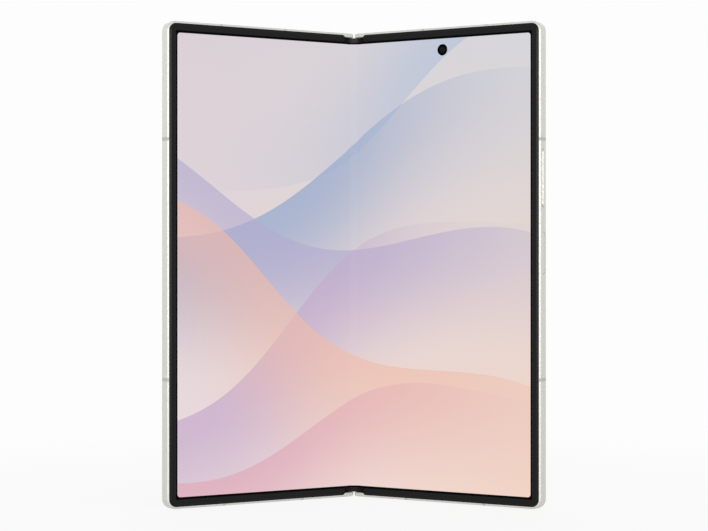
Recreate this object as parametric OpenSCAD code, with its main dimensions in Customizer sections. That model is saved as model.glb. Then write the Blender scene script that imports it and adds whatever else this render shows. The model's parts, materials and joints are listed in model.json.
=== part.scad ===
// Foldable phone that opens like a book, drawn part-way open.
// Each half is drawn flat: x runs out from the hinge line, y from the screen side to the back,
// z up. The left half is the mirror of the right half, and each is then turned about its own
// hinge axis by fold_angle.

/* [Body] */
// Width of one half, from the hinge line to its side
half_w = 71.6; // [68:0.1:80]
// Height of the body
body_h = 158.4; // [150:0.1:175]
// Thickness of one half without its bezel and camera
body_t = 4.2; // [4.2:0.1:6]
// Radius of the outer corners
corner_r = 3.3; // [3:0.1:8]
// Rounding of the frame's front and back edges
edge_r = 0.6; // [0.3:0.05:0.7]
// Thickness of the frame's walls
wall_t = 1.35; // [1.2:0.05:1.6]
// Fold of each half away from flat: 0 is flat open, 90 is closed
fold_angle = 32; // [0:1:90]

/* [Inner screen] */
// Gap between the frame's outside and the bezel
bezel_inset = 0.7; // [0.6:0.05:1]
// Width of the bezel
bezel_w = 2.4; // [2.2:0.05:3]
// Height of the bezel above the frame
bezel_rise = 0.2; // [0.1:0.02:0.22]
// Depth of the screen's surface below the frame's front edge
screen_drop = 0.1; // [0.05:0.01:0.2]
// Thickness of the stiff stretches of the screen
screen_t = 0.55; // [0.45:0.01:0.6]
// Thickness of the stretch that bends
crease_t = 0.3; // [0.15:0.01:0.3]
// Length that bends, from the hinge line outwards
crease_half = 3.7; // [3.5:0.05:4.2]
// Thickness of the metal plate behind the screen
plate_t = 0.25; // [0.15:0.01:0.35]
// Radius of the camera hole in the screen
punch_r = 1.95; // [1.6:0.05:2.4]
// Distance of that hole from the hinge line
punch_x = 35; // [25:0.5:50]
// Distance of that hole from the top
punch_drop = 7.5; // [6.5:0.1:9]

/* [Hinge] */
// Distance of each hinge axis from the hinge line
axis_x = 1.3; // [1.25:0.01:1.4]
// Gap between the two frames when closed
closed_gap = 0.5; // [0.46:0.02:0.7]
// Thickness of the strip of frame that laps over the spine
strip_t = 0.5; // [0.3:0.05:0.6]
// Wall of the spine cover
spine_wall = 0.4; // [0.3:0.05:0.5]
// Running gap between the halves and the spine cover
spine_gap = 0.1; // [0.05:0.01:0.15]
// Length of one hinge unit along the spine
unit_l = 16; // [15:0.5:22]
// Distance of the end hinge units' middles from the body's ends
unit_inset = 18; // [16:0.5:24]
// Radial gap between a hinge arm's shoe and its groove
shoe_gap = 0.05; // [0.02:0.01:0.08]
// Thickness of the shoe
shoe_t = 0.45; // [0.35:0.01:0.5]
// Angle that the shoe reaches round its axis
shoe_reach = 120; // [110:1:122]
// Module of the synchronising gears
gear_m = 0.1; // [0.09:0.005:0.105]
// Width of their teeth along the axis
gear_l = 2; // [1.5:0.1:2.4]
// Reach of each arm's foot, from the hinge line
foot_x = 12; // [10:0.5:12.5]

/* [Back] */
// Thickness of the glass on the backs
glass_t = 0.55; // [0.4:0.05:0.6]
// Gap between the glass and the frame around it
glass_gap = 0.08; // [0.04:0.01:0.12]
// Thickness of the cover screen's panel
cover_panel_t = 0.9; // [0.6:0.05:1]
// Radius of the cover camera's window
cover_cam_r = 1.9; // [1.5:0.1:2.4]
// Width of the camera island
island_w = 20; // [18:0.5:24]
// Height of the camera island
island_h = 56; // [54:0.5:64]
// Thickness of the camera island
island_t = 1; // [0.6:0.05:1.5]
// Distance of the island from the side
island_side = 3.4; // [3:0.1:6]
// Distance of the island from the top
island_top = 6; // [5:0.1:8]
// Outer radius of the lens rings
ring_r = 7.3; // [6.5:0.1:8]
// Height of the lens rings above the island
ring_rise = 1.1; // [0.8:0.05:1.6]
// Width of a lens ring's rim
ring_rim = 1.5; // [1:0.05:1.8]
// Distance between the lenses
lens_pitch = 17.5; // [17:0.1:19]
// Radius of the lens barrels
barrel_r = 4.5; // [3.5:0.1:4.6]
// Radius of the flash
flash_r = 1.7; // [1.2:0.1:2]

/* [Keys and ports] */
// Middle of the volume key, up the side
volume_z = 107.4; // [105:0.2:109]
// Length of the volume key
volume_l = 18.8; // [14:0.2:19]
// Width of the volume key
volume_w = 1.9; // [1.4:0.1:2]
// Height of the volume key above the side
volume_rise = 0.35; // [0.1:0.05:0.6]
// Middle of the power key, up the side
power_z = 83.1; // [78:0.2:85]
// Length of the power key
power_l = 13.4; // [10:0.2:14]
// Width of the power key
power_w = 2.2; // [1.6:0.1:2.2]
// Gap around the keys
key_gap = 0.08; // [0.05:0.01:0.12]
// Travel of the keys
key_travel = 0.25; // [0.15:0.01:0.3]
// Width of the connector's opening
port_w = 8.4; // [8:0.1:9]
// Height of the connector's opening
port_h = 2.6; // [2.2:0.02:2.6]
// Distance of the connector from the hinge line
port_x = 35.8; // [30:0.1:38]
// Length of the connector's shell
port_l = 7; // [6:0.1:7.4]
// Width of the card tray's head
tray_w = 12.4; // [12.2:0.1:12.6]
// Distance of the card tray from the hinge line
tray_x = 19.8; // [19.7:0.1:20]
// Length of the card tray
tray_l = 21; // [18:0.5:22]
// Thickness of the card tray
tray_t = 0.6; // [0.5:0.05:0.7]
// Width of the plastic breaks in the frame
break_w = 1.1; // [0.8:0.1:1.4]

/* [Inside] */
// Clearance left at glued and clamped faces
glue = 0.05; // [0.03:0.01:0.1]
// Inner edge of the batteries, from the hinge line
cell_x = 14; // [13.5:0.5:16]
// Width of the batteries
cell_w = 46; // [40:0.5:46]
// Bottom of the batteries
cell_z = 31; // [30:0.5:33]
// Height of the left battery
left_cell_h = 88; // [70:1:90]
// Height of the right battery
right_cell_h = 60; // [48:1:61]
// Thickness of the circuit boards
board_t = 0.6; // [0.4:0.05:0.8]
// Height of the posts that carry the boards
post_h = 0.3; // [0.2:0.05:0.4]
// Radius of the screws' threads
screw_r = 0.45; // [0.35:0.05:0.5]
// Height of the screws' heads
head_t = 0.3; // [0.2:0.02:0.3]
// Outer radius of the charging coil
coil_r = 22; // [18:0.5:22]
// Width of the vibration motor
haptic_w = 14; // [9:0.5:14]
// Height of the vibration motor
haptic_h = 12; // [8:0.5:16]
// Height of the top speaker
top_speaker_h = 21; // [12:0.5:24]
// Width of the camera modules behind the lenses
module_w = 11; // [9.5:0.1:11.5]
// Width of the left circuit board
left_board_w = 20; // [16:0.5:22]
// Width of the lower board
usb_board_w = 30; // [24:0.5:32]

/* [Hidden] */
$fn = 64;

// Cut solids run past the face they open by this much
past = 1;
// Straight steps that stand for a quarter of a round
steps = 8;

// Depths through one half, from the frame's front edge
axis_y = axis_x - closed_gap / 2;
screen_back = screen_drop + screen_t;
plate_front = screen_back + glue;
plate_back = plate_front + plate_t;
web_t = 0.4;
web_back = plate_back + web_t;
glass_front = body_t - glass_t;
strip_front = body_t - strip_t;
cover_panel_front = glass_front - glue - cover_panel_t;
foot_front = plate_back + glue;
foot_t = 0.6;
foot_back = foot_front + foot_t;
room_back = glass_front - glue;

// Section of the spine and where the halves' own pieces may start
spine_r = strip_front - spine_gap - axis_y;
trough_r = spine_r - spine_wall;
lip_angle = 10;
rail_x = axis_x + spine_r + spine_gap;
rail_w = 1.2;
plate_x = rail_x + 0.45;
bezel_x = rail_x + 0.25;
lap_w = 2.1;
hinge_edge = closed_gap / 2;

// Ends of the spine, with the caps in them
spine_z0 = wall_t + 0.15;
cap_h = 1.7;
cap_w = axis_x + trough_r - 0.15;
cap_dish = 1;
crease_z0 = spine_z0 + cap_h + 0.1;

// Screen and glass edges
frame_rim = 0.85;
bezel_end = bezel_inset + bezel_w;
screen_inset = wall_t + 0.1;
bezel_chamfer = 0.55;
ledge_w = 1.3;
glass_inset = frame_rim + glass_gap;
glass_x = rail_x + rail_w + glass_gap;

// Hinge units: the shoe's groove, the neck that leaves it and the gears beyond
unit_z = [unit_inset, body_h / 2, body_h - unit_inset];
bracket_r = trough_r - 0.05;
shoe_r1 = bracket_r - 0.4;
shoe_r0 = shoe_r1 - shoe_t;
bracket_front = screen_drop + crease_t + 0.25;
neck_front = axis_y - 0.1;
neck_half = 0.275;
shoe_z0 = -unit_l / 2 + 1;
shoe_z1 = -1;
gear_z0 = 1;
gear_z1 = gear_z0 + gear_l;
swing_gap = 0.1;
neck_angle = asin(neck_half / (shoe_r0 - shoe_gap)) + 1.5;
neck_travel = 95;

// Gear train: sector, idler, idler, sector, with equal outer and equal inner wheels
sector_teeth = 20;
idler_teeth = 10;
sector_r = gear_m * sector_teeth / 2;
idler_r = gear_m * idler_teeth / 2;
gear_angle = acos((axis_x - idler_r) / (sector_r + idler_r));
idler_y = axis_y + (sector_r + idler_r) * sin(gear_angle);
tooth_add = 0.8 * gear_m;
tooth_ded = 1.2 * gear_m;
backlash = 0.35 * gear_m;
pin_r = 0.18;
pin_gap = 0.03;
pin_end = 0.6;

// Bosses and screws
spine_boss_z = unit_l / 2 - 2;
boss_r = 0.75;
head_r = screw_r + 0.4;
screw_gap = 0.05;
thread_gap = 0.01;
foot_screw_pitch = 3.6;
foot_screw_inset = 1.6;
foot_screws = [foot_x - foot_screw_inset - foot_screw_pitch, foot_x - foot_screw_inset];
pad_x = foot_x + 0.5;
pad_back = cover_panel_front - 0.1;
foot_z = (shoe_z0 + gear_z1) / 2;

// Flex cables over the hinge
cable_z = [body_h * 0.3, body_h * 0.7];
cable_w = 9;
cable_t = 0.12;
cable_end = foot_x + 1;

// Keys
key_y = body_t / 2;
key_lip = 0.5;
lip_t = 0.35;
nub_t = 0.2;
switch_n = wall_t + glue + lip_t + nub_t + key_travel + 0.05;
stiffener_t = 0.3;
power_sink = 0.02;

// Frame openings
port_y = (plate_front + room_back) / 2;
port_wall = 0.12;
port_clear = 0.5;
tongue_w = 6.6;
tongue_t = 0.7;
tongue_sink = 0.8;
tray_y = foot_front + 1;
tray_head_h = 1.2;
tray_side = 0.2;
eject_r = 0.35;
eject_inset = 1.1;
eject_depth = 0.6;
card_w = 8.9;
card_l = 12.4;
card_z = body_h - wall_t - 3.6 - card_l;
card_floor = 0.15;
reader_wall = 0.3;
key_break_gap = 2.65;
side_breaks = [42, volume_z + volume_l / 2 + break_w / 2 + key_break_gap];
top_breaks = [27.6, 51.6];
bottom_breaks = [21, 50.7];
hole_pitch = 1.7;
speaker_holes = 6;
speaker_x = 54.5;
mic_x = bottom_breaks[0] + 5;
mic_r = 0.4;

// Inside
left_cell_back = cover_panel_front - 0.15;
coil_t = 0.25;
right_cell_back = room_back - coil_t - 2 * glue;
left_web_z = cell_z + left_cell_h + 2;
right_web_z = cell_z + right_cell_h + 2;
web_z0 = cell_z - 2;
board_front = web_back + post_h;
board_back = board_front + board_t;
shield_t = 0.8;
coil_z = cell_z + right_cell_h / 2;
coil_x = cell_x + cell_w / 2;
post_r = 1.3;
post_inset = 2;
side_room = 6;
haptic_z = 8;
haptic_side = 8;
top_room = 5;
speaker_gap = 13;
usb_board_x = 16;
flex_over = 3;
tip_room = 0.15;
ear_w = 10;
ear_h = 0.6;
cam_flange = 0.9;
punch_flange = 0.45;
hole_gap = 0.1;
post_hole = plate_back + 0.05;

// Cameras
island_x = half_w - island_side - island_w / 2;
island_z = body_h - island_top - island_h / 2;
island_back = body_t + island_t;
lens_z = [island_z - lens_pitch, island_z, island_z + lens_pitch];
flash_x = island_x - island_w / 2 - flash_r - 2;
cover_cam_x = half_w / 2 + 2.2;
cover_cam_z = body_h - 8;
punch_z = body_h - punch_drop;
board_x0 = cell_x;
board_x1 = island_x - island_w / 2 - 0.4;
board_z1 = punch_z - punch_r - 2.6;

// The model stands on its bottom edges with the middle of its depth at y = 0
y_low = axis_y - (half_w - axis_x) * sin(fold_angle) - axis_y * cos(fold_angle);
y_high = max(axis_y + spine_r,
    axis_y + axis_y * sin(fold_angle) + (body_t - axis_y) * cos(fold_angle));
y_shift = -(y_low + y_high) / 2;

// Placing

module on_spine() translate([0, y_shift, 0]) children();

module on_right() translate([axis_x, axis_y + y_shift, 0]) rotate([0, 0, -fold_angle])
    translate([-axis_x, -axis_y, 0]) children();

module on_left() mirror([1, 0, 0]) on_right() children();

// Building blocks

function arc(cx, cy, r, a0, a1, n = steps) =
    [for (i = [0:n]) let (t = a0 + (a1 - a0) * i / n) [cx + r * cos(t), cy + r * sin(t)]];

module block(x, y, z) translate([x[0], y[0], z[0]]) cube([x[1] - x[0], y[1] - y[0], z[1] - z[0]]);

// A round peg or hole from the screen side to the back
module peg(x, z, r, y) translate([x, y[0], z]) rotate([-90, 0, 0]) cylinder(r = r, h = y[1] - y[0]);

// A plate between two depths, from an outline in x and z
module plate(y, outline) mirror([0, 1, -1]) translate([0, 0, y[0]])
    linear_extrude(y[1] - y[0]) polygon(outline);

// Outline of a half, square at the hinge and round at the side
function half_outline(x0, inset, r) = concat(
    [[x0, inset]],
    arc(half_w - inset - r, inset + r, r, -90, 0),
    arc(half_w - inset - r, body_h - inset - r, r, 0, 90),
    [[x0, body_h - inset]]);

// Both sides of the hinge line
module both() {
    children();
    mirror([1, 0, 0]) children();
}

// The bottom end and the same at the top
module both_ends() {
    children();
    translate([0, 0, body_h]) mirror([0, 0, 1]) children();
}

function pill(x, z, w, h) = concat(
    arc(x, z + (h - w) / 2, w / 2, 0, 180, 4 * steps),
    arc(x, z - (h - w) / 2, w / 2, 180, 360, 4 * steps));

// Bottom edge of a half, from a section given as [distance from the outside, depth]
module along_bottom(section, x) mirror([1, 0, -1]) translate([0, 0, x[0]])
    linear_extrude(x[1] - x[0]) polygon(section);

module along_top(section, x) translate([0, 0, body_h]) mirror([0, 0, 1]) along_bottom(section, x);

module along_side(section, z) translate([half_w, 0, z[0]]) mirror([1, 0, 0])
    linear_extrude(z[1] - z[0]) polygon(section);

// A section that reaches further in than the corner's radius ends in a sharp inner corner
module round_corner(section, r) translate([half_w - r, 0, r]) mirror([0, 1, -1])
    rotate([0, 0, 270]) rotate_extrude(angle = 90)
        polygon([for (p = section) [max(r - p[0], 0), p[1]]]);

// The section carried round the bottom, side and top of a half
module around(section, r, x0) {
    along_bottom(section, [x0, half_w - r]);
    along_top(section, [x0, half_w - r]);
    along_side(section, [r, body_h - r]);
    round_corner(section, r);
    translate([0, 0, body_h]) mirror([0, 0, 1]) round_corner(section, r);
}

// The outside of the frame's wall, as a section
function wall_outside() = concat(
    arc(edge_r, edge_r, edge_r, 270, 180, 6),
    arc(edge_r, body_t - edge_r, edge_r, 180, 90, 6),
    [[frame_rim, body_t], [frame_rim, glass_front], [wall_t, glass_front]]);

function wall_section() = concat(wall_outside(), [[wall_t, 0]]);

function ledge_section() = concat(wall_outside(), [
    [wall_t, web_back], [wall_t + ledge_w, web_back], [wall_t + ledge_w, plate_back],
    [wall_t, plate_back], [wall_t, 0]]);

function bezel_section() = [
    [bezel_inset, 0], [bezel_inset, -bezel_rise * 0.4], [bezel_inset + 0.25, -bezel_rise],
    [bezel_end - 0.1, -bezel_rise], [bezel_end, -bezel_rise * 0.4], [bezel_end, screen_drop],
    [screen_inset, screen_drop], [screen_inset, 0]];

// Where a point of the flat model lies once folded, bending over the crease
function ease(t) = t <= 0 ? 0 : t >= 1 ? 1 : t * t * (3 - 2 * t);

function folded(p) = let (
    side = p[0] < 0 ? -1 : 1, turn = fold_angle * ease(abs(p[0]) / crease_half),
    u = abs(p[0]) - axis_x, v = p[1] - axis_y)
    [side * (axis_x + u * cos(turn) + v * sin(turn)), axis_y - u * sin(turn) + v * cos(turn)];

// Frame

module screw_pads() for (z = unit_z)
    block([rail_x, pad_x], [foot_back, pad_back],
        [z + shoe_z0 - 0.4, z + gear_z1 + 0.4]);

module foot_room() for (z = unit_z)
    block([rail_x - past, pad_x], [-past, foot_back],
        [z + shoe_z0 - 0.2, z + gear_z1 + 0.2]);

module cable_room() for (z = cable_z)
    block([rail_x - past, cable_end + 0.5], [-past, foot_back],
        [z - cable_w / 2 - 0.5, z + cable_w / 2 + 0.5]);

module pad_holes() for (z = unit_z, x = foot_screws)
    peg(x, z + foot_z, screw_r + thread_gap, [foot_back - past, pad_back - 0.1]);

// Rounds the frame's ends at the hinge, so that the halves pass each other
module end_relief() translate([0, 0, -past]) linear_extrude(wall_t + 2 * past) polygon(concat(
    [[-past, -past], [axis_x, -past]], arc(axis_x, axis_y, axis_y, 270, 180), [[-past, axis_y]]));

module end_round() {
    r = 1.5;
    plate([-past, body_t + past], concat(
        [[hinge_edge - past, -past], [hinge_edge + r, -past]],
        arc(hinge_edge + r, r, r, 270, 180), [[hinge_edge - past, r]]));
}

module frame_body(web_top, board) {
    inner = [wall_t / 2, body_h - wall_t / 2];
    difference() {
        union() {
            around(ledge_section(), corner_r, hinge_edge);
            block([hinge_edge, rail_x + rail_w], [strip_front, body_t], inner);
            block([rail_x, rail_x + rail_w], [foot_back, body_t - strip_t / 2], inner);
            difference() {
                union() {
                    block([plate_x, plate_x + lap_w], [plate_back, foot_back + 0.1], inner);
                    difference() {
                        plate([plate_back, web_back],
                            half_outline(plate_x, wall_t / 2, corner_r - wall_t / 2));
                        block([0, half_w], [0, body_t], [web_z0, web_top]);
                    }
                }
                foot_room();
                cable_room();
            }
            screw_pads();
            for (p = corners(board)) peg(p[0], p[1], post_r, [web_back - web_t / 2, board_front]);
        }
        // Room for the spine and its caps
        block([hinge_edge - past, rail_x], [-past, strip_front], [wall_t, body_h - wall_t]);
        pad_holes();
        for (p = corners(board)) peg(p[0], p[1], screw_r + thread_gap, [post_hole, body_t]);
        both_ends() {
            end_relief();
            end_round();
        }
        break_slots();
    }
}

module break_slots() {
    n = [-past, wall_t];
    y = [-past, body_t + past];
    for (z = side_breaks)
        block([half_w - n[1], half_w - n[0]], y, [z - break_w / 2, z + break_w / 2]);
    for (x = top_breaks)
        block([x - break_w / 2, x + break_w / 2], y, [body_h - n[1], body_h - n[0]]);
    for (x = bottom_breaks) block([x - break_w / 2, x + break_w / 2], y, n);
}

module antenna_breaks() color("#b9b9b5") {
    for (z = side_breaks) along_side(wall_section(), [z - break_w / 2, z + break_w / 2]);
    for (x = top_breaks) along_top(wall_section(), [x - break_w / 2, x + break_w / 2]);
    for (x = bottom_breaks) along_bottom(wall_section(), [x - break_w / 2, x + break_w / 2]);
}

// A round-ended bar that runs outwards through the side: a key, or its hole
module key_bar(x, w, l, z) {
    straight = (l - w) / 2;
    block(x, [key_y - w / 2, key_y + w / 2], [z - straight, z + straight]);
    for (s = [-1, 1]) translate([x[0], key_y, z + s * straight]) rotate([0, 90, 0])
        cylinder(d = w, h = x[1] - x[0]);
}

module key_slot(z, l, w) {
    reach = key_lip + key_gap;
    key_bar([half_w - wall_t - past, half_w + past], w + 2 * key_gap, l + 2 * key_gap, z);
    block([half_w - wall_t - ledge_w - past, half_w - wall_t], [0, glass_front],
        [z - l / 2 - reach, z + l / 2 + reach]);
}

// A round-ended bar that runs up through the bottom or top edge, or its hole
module edge_bar(x, y, w, h, z) {
    straight = (w - h) / 2;
    block([x - straight, x + straight], [y - h / 2, y + h / 2], z);
    for (s = [-1, 1]) translate([x + s * straight, y, z[0]]) cylinder(d = h, h = z[1] - z[0]);
}

module tray_slot() edge_bar(tray_x, tray_y, tray_w + 2 * key_gap, tray_head_h + 2 * key_gap,
    [body_h - wall_t - ledge_w - past, body_h + past]);

module port_slot(w, h, z) edge_bar(port_x, port_y, w, h, z);

// Room behind the screen for the connector's shell
module port_room() block([port_x - port_w / 2 - port_clear, port_x + port_w / 2 + port_clear],
    [plate_front - glue / 2, body_t], [wall_t, wall_t + port_l + port_clear]);

// A sound hole through the bottom or top wall, from z upwards
module wall_hole(x, z) translate([x, port_y, z - past]) cylinder(r = mic_r, h = wall_t + 2 * past);

module left_frame() on_left() color("#d4d4ce") difference() {
    frame_body(left_web_z, left_board);
    tray_slot();
    // Room in the web for the tray and its reader
    block([tray_x - tray_w / 2 - 2 * reader_wall, tray_x + tray_w / 2 + 2 * reader_wall],
        [0, web_back + past], [body_h - wall_t - tray_l - 3, body_h - wall_t]);
    peg(cover_cam_x, cover_cam_z, cover_cam_r + 0.6, [0, body_t]);
}

module right_frame() on_right() color("#d4d4ce") difference() {
    frame_body(right_web_z, right_board);
    key_slot(volume_z, volume_l, volume_w);
    key_slot(power_z, power_l, power_w);
    port_slot(port_w, port_h, [-past, wall_t + past]);
    port_room();
    peg(punch_x, punch_z, punch_r + 0.6, [0, web_back + past]);
    for (i = [0:speaker_holes - 1]) wall_hole(speaker_x + i * hole_pitch, 0);
    wall_hole(mic_x, 0);
    wall_hole(port_x, body_h - wall_t);
}

module left_antenna_breaks() on_left() antenna_breaks();
module right_antenna_breaks() on_right() antenna_breaks();

// Inner screen

module bezel() color("#242424") difference() {
    around(bezel_section(), corner_r, bezel_x);
    both_ends() plate([-past, past], [
        [bezel_x - past, bezel_inset - past],
        [bezel_x + bezel_chamfer + past, bezel_inset - past],
        [bezel_x - past, bezel_inset + bezel_chamfer + past]]);
}

module left_bezel() on_left() bezel();
module right_bezel() on_right() bezel();

module screen_panel() plate([screen_drop, screen_back],
    half_outline(crease_half, screen_inset, corner_r - screen_inset));

module left_display_panel() on_left() color("#e4d4dc") screen_panel();

module right_display_panel() on_right() color("#ead6d2") difference() {
    screen_panel();
    peg(punch_x, punch_z, punch_r, [0, screen_back + past]);
}

module display_crease() on_spine() color("#e0d2da") {
    s = [for (i = [-2 * steps:2 * steps]) crease_half * i / (2 * steps)];
    translate([0, 0, crease_z0]) linear_extrude(body_h - 2 * crease_z0) polygon(concat(
        [for (x = s) folded([x, screen_drop])],
        [for (i = [len(s) - 1:-1:0]) folded([s[i], screen_drop + crease_t])]));
}

module support_plate() plate([plate_front, plate_back],
    half_outline(plate_x, screen_inset, corner_r - screen_inset));

module left_support_plate() on_left() color("#8d9096") support_plate();

module right_support_plate() on_right() color("#8d9096") difference() {
    support_plate();
    peg(punch_x, punch_z, punch_r + 0.3, [0, plate_back + past]);
    port_room();
}

// Hinge spine

// Half of the spine's outline, as two quarter rounds joined by a flat
function spine_outline(r, a) = concat(
    arc(axis_x, axis_y, r, a, 90, 2 * steps), arc(-axis_x, axis_y, r, 90, 180 - a, 2 * steps));

module spine_prism(outline, z) translate([0, 0, z[0]]) linear_extrude(z[1] - z[0]) polygon(outline);

module hinge_spine_cover() on_spine() color("#c9c9c4") difference() {
    union() {
        spine_prism(concat(spine_outline(spine_r, lip_angle),
            [for (p = spine_outline(trough_r, lip_angle)) [-p[0], p[1]]]),
            [spine_z0, body_h - spine_z0]);
        for (z = unit_z) peg(0, z + spine_boss_z, boss_r, [idler_y, axis_y + trough_r + 0.1]);
    }
    for (z = unit_z) peg(0, z + spine_boss_z, screw_r + thread_gap,
        [idler_y - past, axis_y + trough_r + 0.05]);
}

// A wedge about the right hinge axis, between two radii and two angles
module wedge(r, a, z) translate([axis_x, axis_y, z[0]]) rotate([0, 0, a[0]])
    rotate_extrude(angle = a[1] - a[0]) translate([r[0], 0]) square([r[1] - r[0], z[1] - z[0]]);

module hinge_brackets() on_spine() color("#6f7378") for (z = unit_z) translate([0, 0, z])
    difference() {
        spine_prism(concat([[axis_x + bracket_r * 0.9, bracket_front]],
            spine_outline(bracket_r, 0), [[-axis_x - bracket_r * 0.9, bracket_front]]),
            [-unit_l / 2, unit_l / 2]);
        both() {
            wedge([shoe_r0 - shoe_gap, shoe_r1 + shoe_gap], [-neck_travel, shoe_reach + 6],
                [shoe_z0 - swing_gap, shoe_z1 + swing_gap]);
            wedge([shoe_r0 - shoe_gap / 2, trough_r + past], [-neck_travel, neck_angle],
                [shoe_z0 - swing_gap, gear_z1 + swing_gap]);
            translate([axis_x, axis_y, gear_z0 - swing_gap])
                cylinder(r = shoe_r0, h = gear_l + 2 * swing_gap);
            translate([idler_r, idler_y, gear_z0 - swing_gap])
                cylinder(r = idler_r + tooth_add + 0.06, h = gear_l + 2 * swing_gap);
            translate([idler_r, idler_y, gear_z0 - pin_end])
                cylinder(r = pin_r + thread_gap, h = gear_l + 2 * pin_end);
        }
        peg(0, spine_boss_z, boss_r + screw_gap, [idler_y - 0.05, axis_y + trough_r]);
        peg(0, spine_boss_z, screw_r + screw_gap, [-past, idler_y]);
        peg(0, spine_boss_z, head_r + screw_gap, [-past, bracket_front + head_t]);
    }

module hinge_idler_pins() on_spine() color("#b8bcc2") for (z = unit_z) both()
    translate([idler_r, idler_y, z + gear_z0 - pin_end])
        cylinder(r = pin_r, h = gear_l + 2 * pin_end);

module screw(x, z, y_head, y_tip) {
    difference() {
        peg(x, z, head_r, [y_head, y_head + head_t]);
        peg(x, z, screw_r * 0.55, [y_head - past, y_head + head_t * 0.6], $fn = 6);
    }
    peg(x, z, screw_r, [y_head + head_t / 2, y_tip]);
}

module hinge_screws() on_spine() color("#9a9da2") for (z = unit_z)
    screw(0, z + spine_boss_z, bracket_front, axis_y + trough_r);

// Their fronts are dished, so that the screen's bend runs on into them
module hinge_end_caps() on_spine() color("#1c1c1c") both_ends() spine_prism(
    concat(spine_outline(trough_r - glue, lip_angle), [for (i = [-steps:steps])
        [cap_w * i / steps, screen_drop + cap_dish * (1 - pow(i / steps, 2))]]),
    [spine_z0, spine_z0 + cap_h]);

// Ribbon cables from one half to the other, slack enough to fold
module hinge_flex_cables() on_spine() color("#b87820") {
    slack = idler_y + idler_r / 2;
    depth = foot_front + 0.2;
    path = [for (i = [-12:12]) let (s = crease_half * 1.1 * i / 12)
        [s, depth + (slack - depth) * (1 - ease(abs(s) / crease_half))]];
    route = concat([[-cable_end, depth]], path, [[cable_end, depth]]);
    for (z = cable_z) translate([0, 0, z - cable_w / 2]) linear_extrude(cable_w) polygon(concat(
        [for (p = route) folded(p)],
        [for (i = [len(route) - 1:-1:0]) folded(route[i] + [0, cable_t])]));
}

// Hinge arms and gears

function tooth(r, at) = let (
    half = (PI * gear_m / 2 - backlash) / 2,
    foot = half + tooth_ded * tan(20), tip = half - tooth_add * tan(20), deg = 180 / PI)
    [for (p = [[-foot, -tooth_ded], [-tip, tooth_add], [tip, tooth_add], [foot, -tooth_ded]])
        let (a = at + p[0] / (r + p[1]) * deg, q = r + p[1]) [q * cos(a), q * sin(a)]];

// The sector's teeth start at the pitch line's contact with the idler and run through the fold
module gear_sector(shift) {
    step = 360 / sector_teeth;
    first = 180 - gear_angle - step * (1 - shift);
    count = 7 - ceil(shift);
    translate([axis_x, axis_y, gear_z0]) linear_extrude(gear_l) polygon(concat(
        arc(0, 0, sector_r - tooth_ded, -20, first - step / 2),
        [for (i = [0:count - 1]) each tooth(sector_r, first + i * step)],
        [[0, 0]]));
}

module hinge_arm(shift) {
    neck_x0 = axis_x + sqrt(pow(shoe_r0, 2) - pow(neck_half, 2)) + 0.02;
    wedge([shoe_r0, shoe_r1], [-8, shoe_reach], [shoe_z0, shoe_z1]);
    difference() {
        union() {
            block([neck_x0, plate_x - 0.1], [neck_front, axis_y + neck_half],
                [shoe_z0, gear_z1]);
            block([rail_x + glue, foot_x], [foot_front, foot_back], [shoe_z0, gear_z1]);
        }
        for (x = foot_screws) {
            peg(x, foot_z, screw_r + screw_gap, [0, foot_back + past]);
            peg(x, foot_z, head_r + screw_gap, [0, foot_front + head_t]);
        }
    }
    gear_sector(shift);
    block([axis_x, neck_x0 + 0.1], [neck_front, axis_y + neck_half], [gear_z0, gear_z1]);
}

module left_hinge_arms() on_left() color("#84888e")
    for (z = unit_z) translate([0, 0, z]) hinge_arm(0.5);

module right_hinge_arms() on_right() color("#84888e")
    for (z = unit_z) translate([0, 0, z]) hinge_arm(0);

// Idlers turn twice as far as the halves, the other way
module idler(start) {
    step = 360 / idler_teeth;
    translate([idler_r, idler_y, gear_z0]) rotate([0, 0, 2 * fold_angle]) difference() {
        linear_extrude(gear_l) polygon(
            [for (i = [0:idler_teeth - 1]) each tooth(idler_r, start + i * step)]);
        translate([0, 0, -past]) cylinder(r = pin_r + pin_gap, h = gear_l + 2 * past);
    }
}

module right_idler_gears() on_spine() color("#c4b27a")
    for (z = unit_z) translate([0, 0, z]) idler(-gear_angle + 180 / idler_teeth);

module left_idler_gears() on_spine() color("#c4b27a")
    for (z = unit_z) translate([0, 0, z]) mirror([1, 0, 0]) idler(-gear_angle);

module foot_fixings() for (z = unit_z, x = foot_screws)
    screw(x, z + foot_z, foot_front, pad_back - tip_room);

module left_screws() on_left() color("#9a9da2") {
    foot_fixings();
    board_fixings(left_board);
}

module right_screws() on_right() color("#9a9da2") {
    foot_fixings();
    board_fixings(right_board);
}

// Boards: [x, z] of each corner screw and the board's outline

left_board = [cover_cam_x - left_board_w / 2, cover_cam_x + left_board_w / 2,
    left_web_z + 1, cover_cam_z - cover_cam_r - 2];
right_board = [board_x0, board_x1, right_web_z + 1, board_z1];

function corners(b) = [
    for (x = [b[0] + post_inset, b[1] - post_inset], z = [b[2] + post_inset, b[3] - post_inset])
        [x, z]];

// Their heads lie behind the board, so each screw is turned about the board's back face
module board_fixings(b) for (p = corners(b))
    translate([0, 2 * board_back, 0]) mirror([0, 1, 0])
        screw(p[0], p[1], board_back - head_t, 2 * board_back - post_hole - 0.05);

module board(b) difference() {
    block([b[0], b[1]], [board_front, board_back], [b[2], b[3]]);
    for (p = corners(b)) peg(p[0], p[1], screw_r + screw_gap, [0, body_t]);
}

module left_circuit_board() on_left() color("#1f5a3c") board(left_board);
module main_board() on_right() color("#1f5a3c") board(right_board);

// Left half

module battery(h, back)
    block([cell_x, cell_x + cell_w], [plate_back + glue, back], [cell_z, cell_z + h]);

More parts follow.
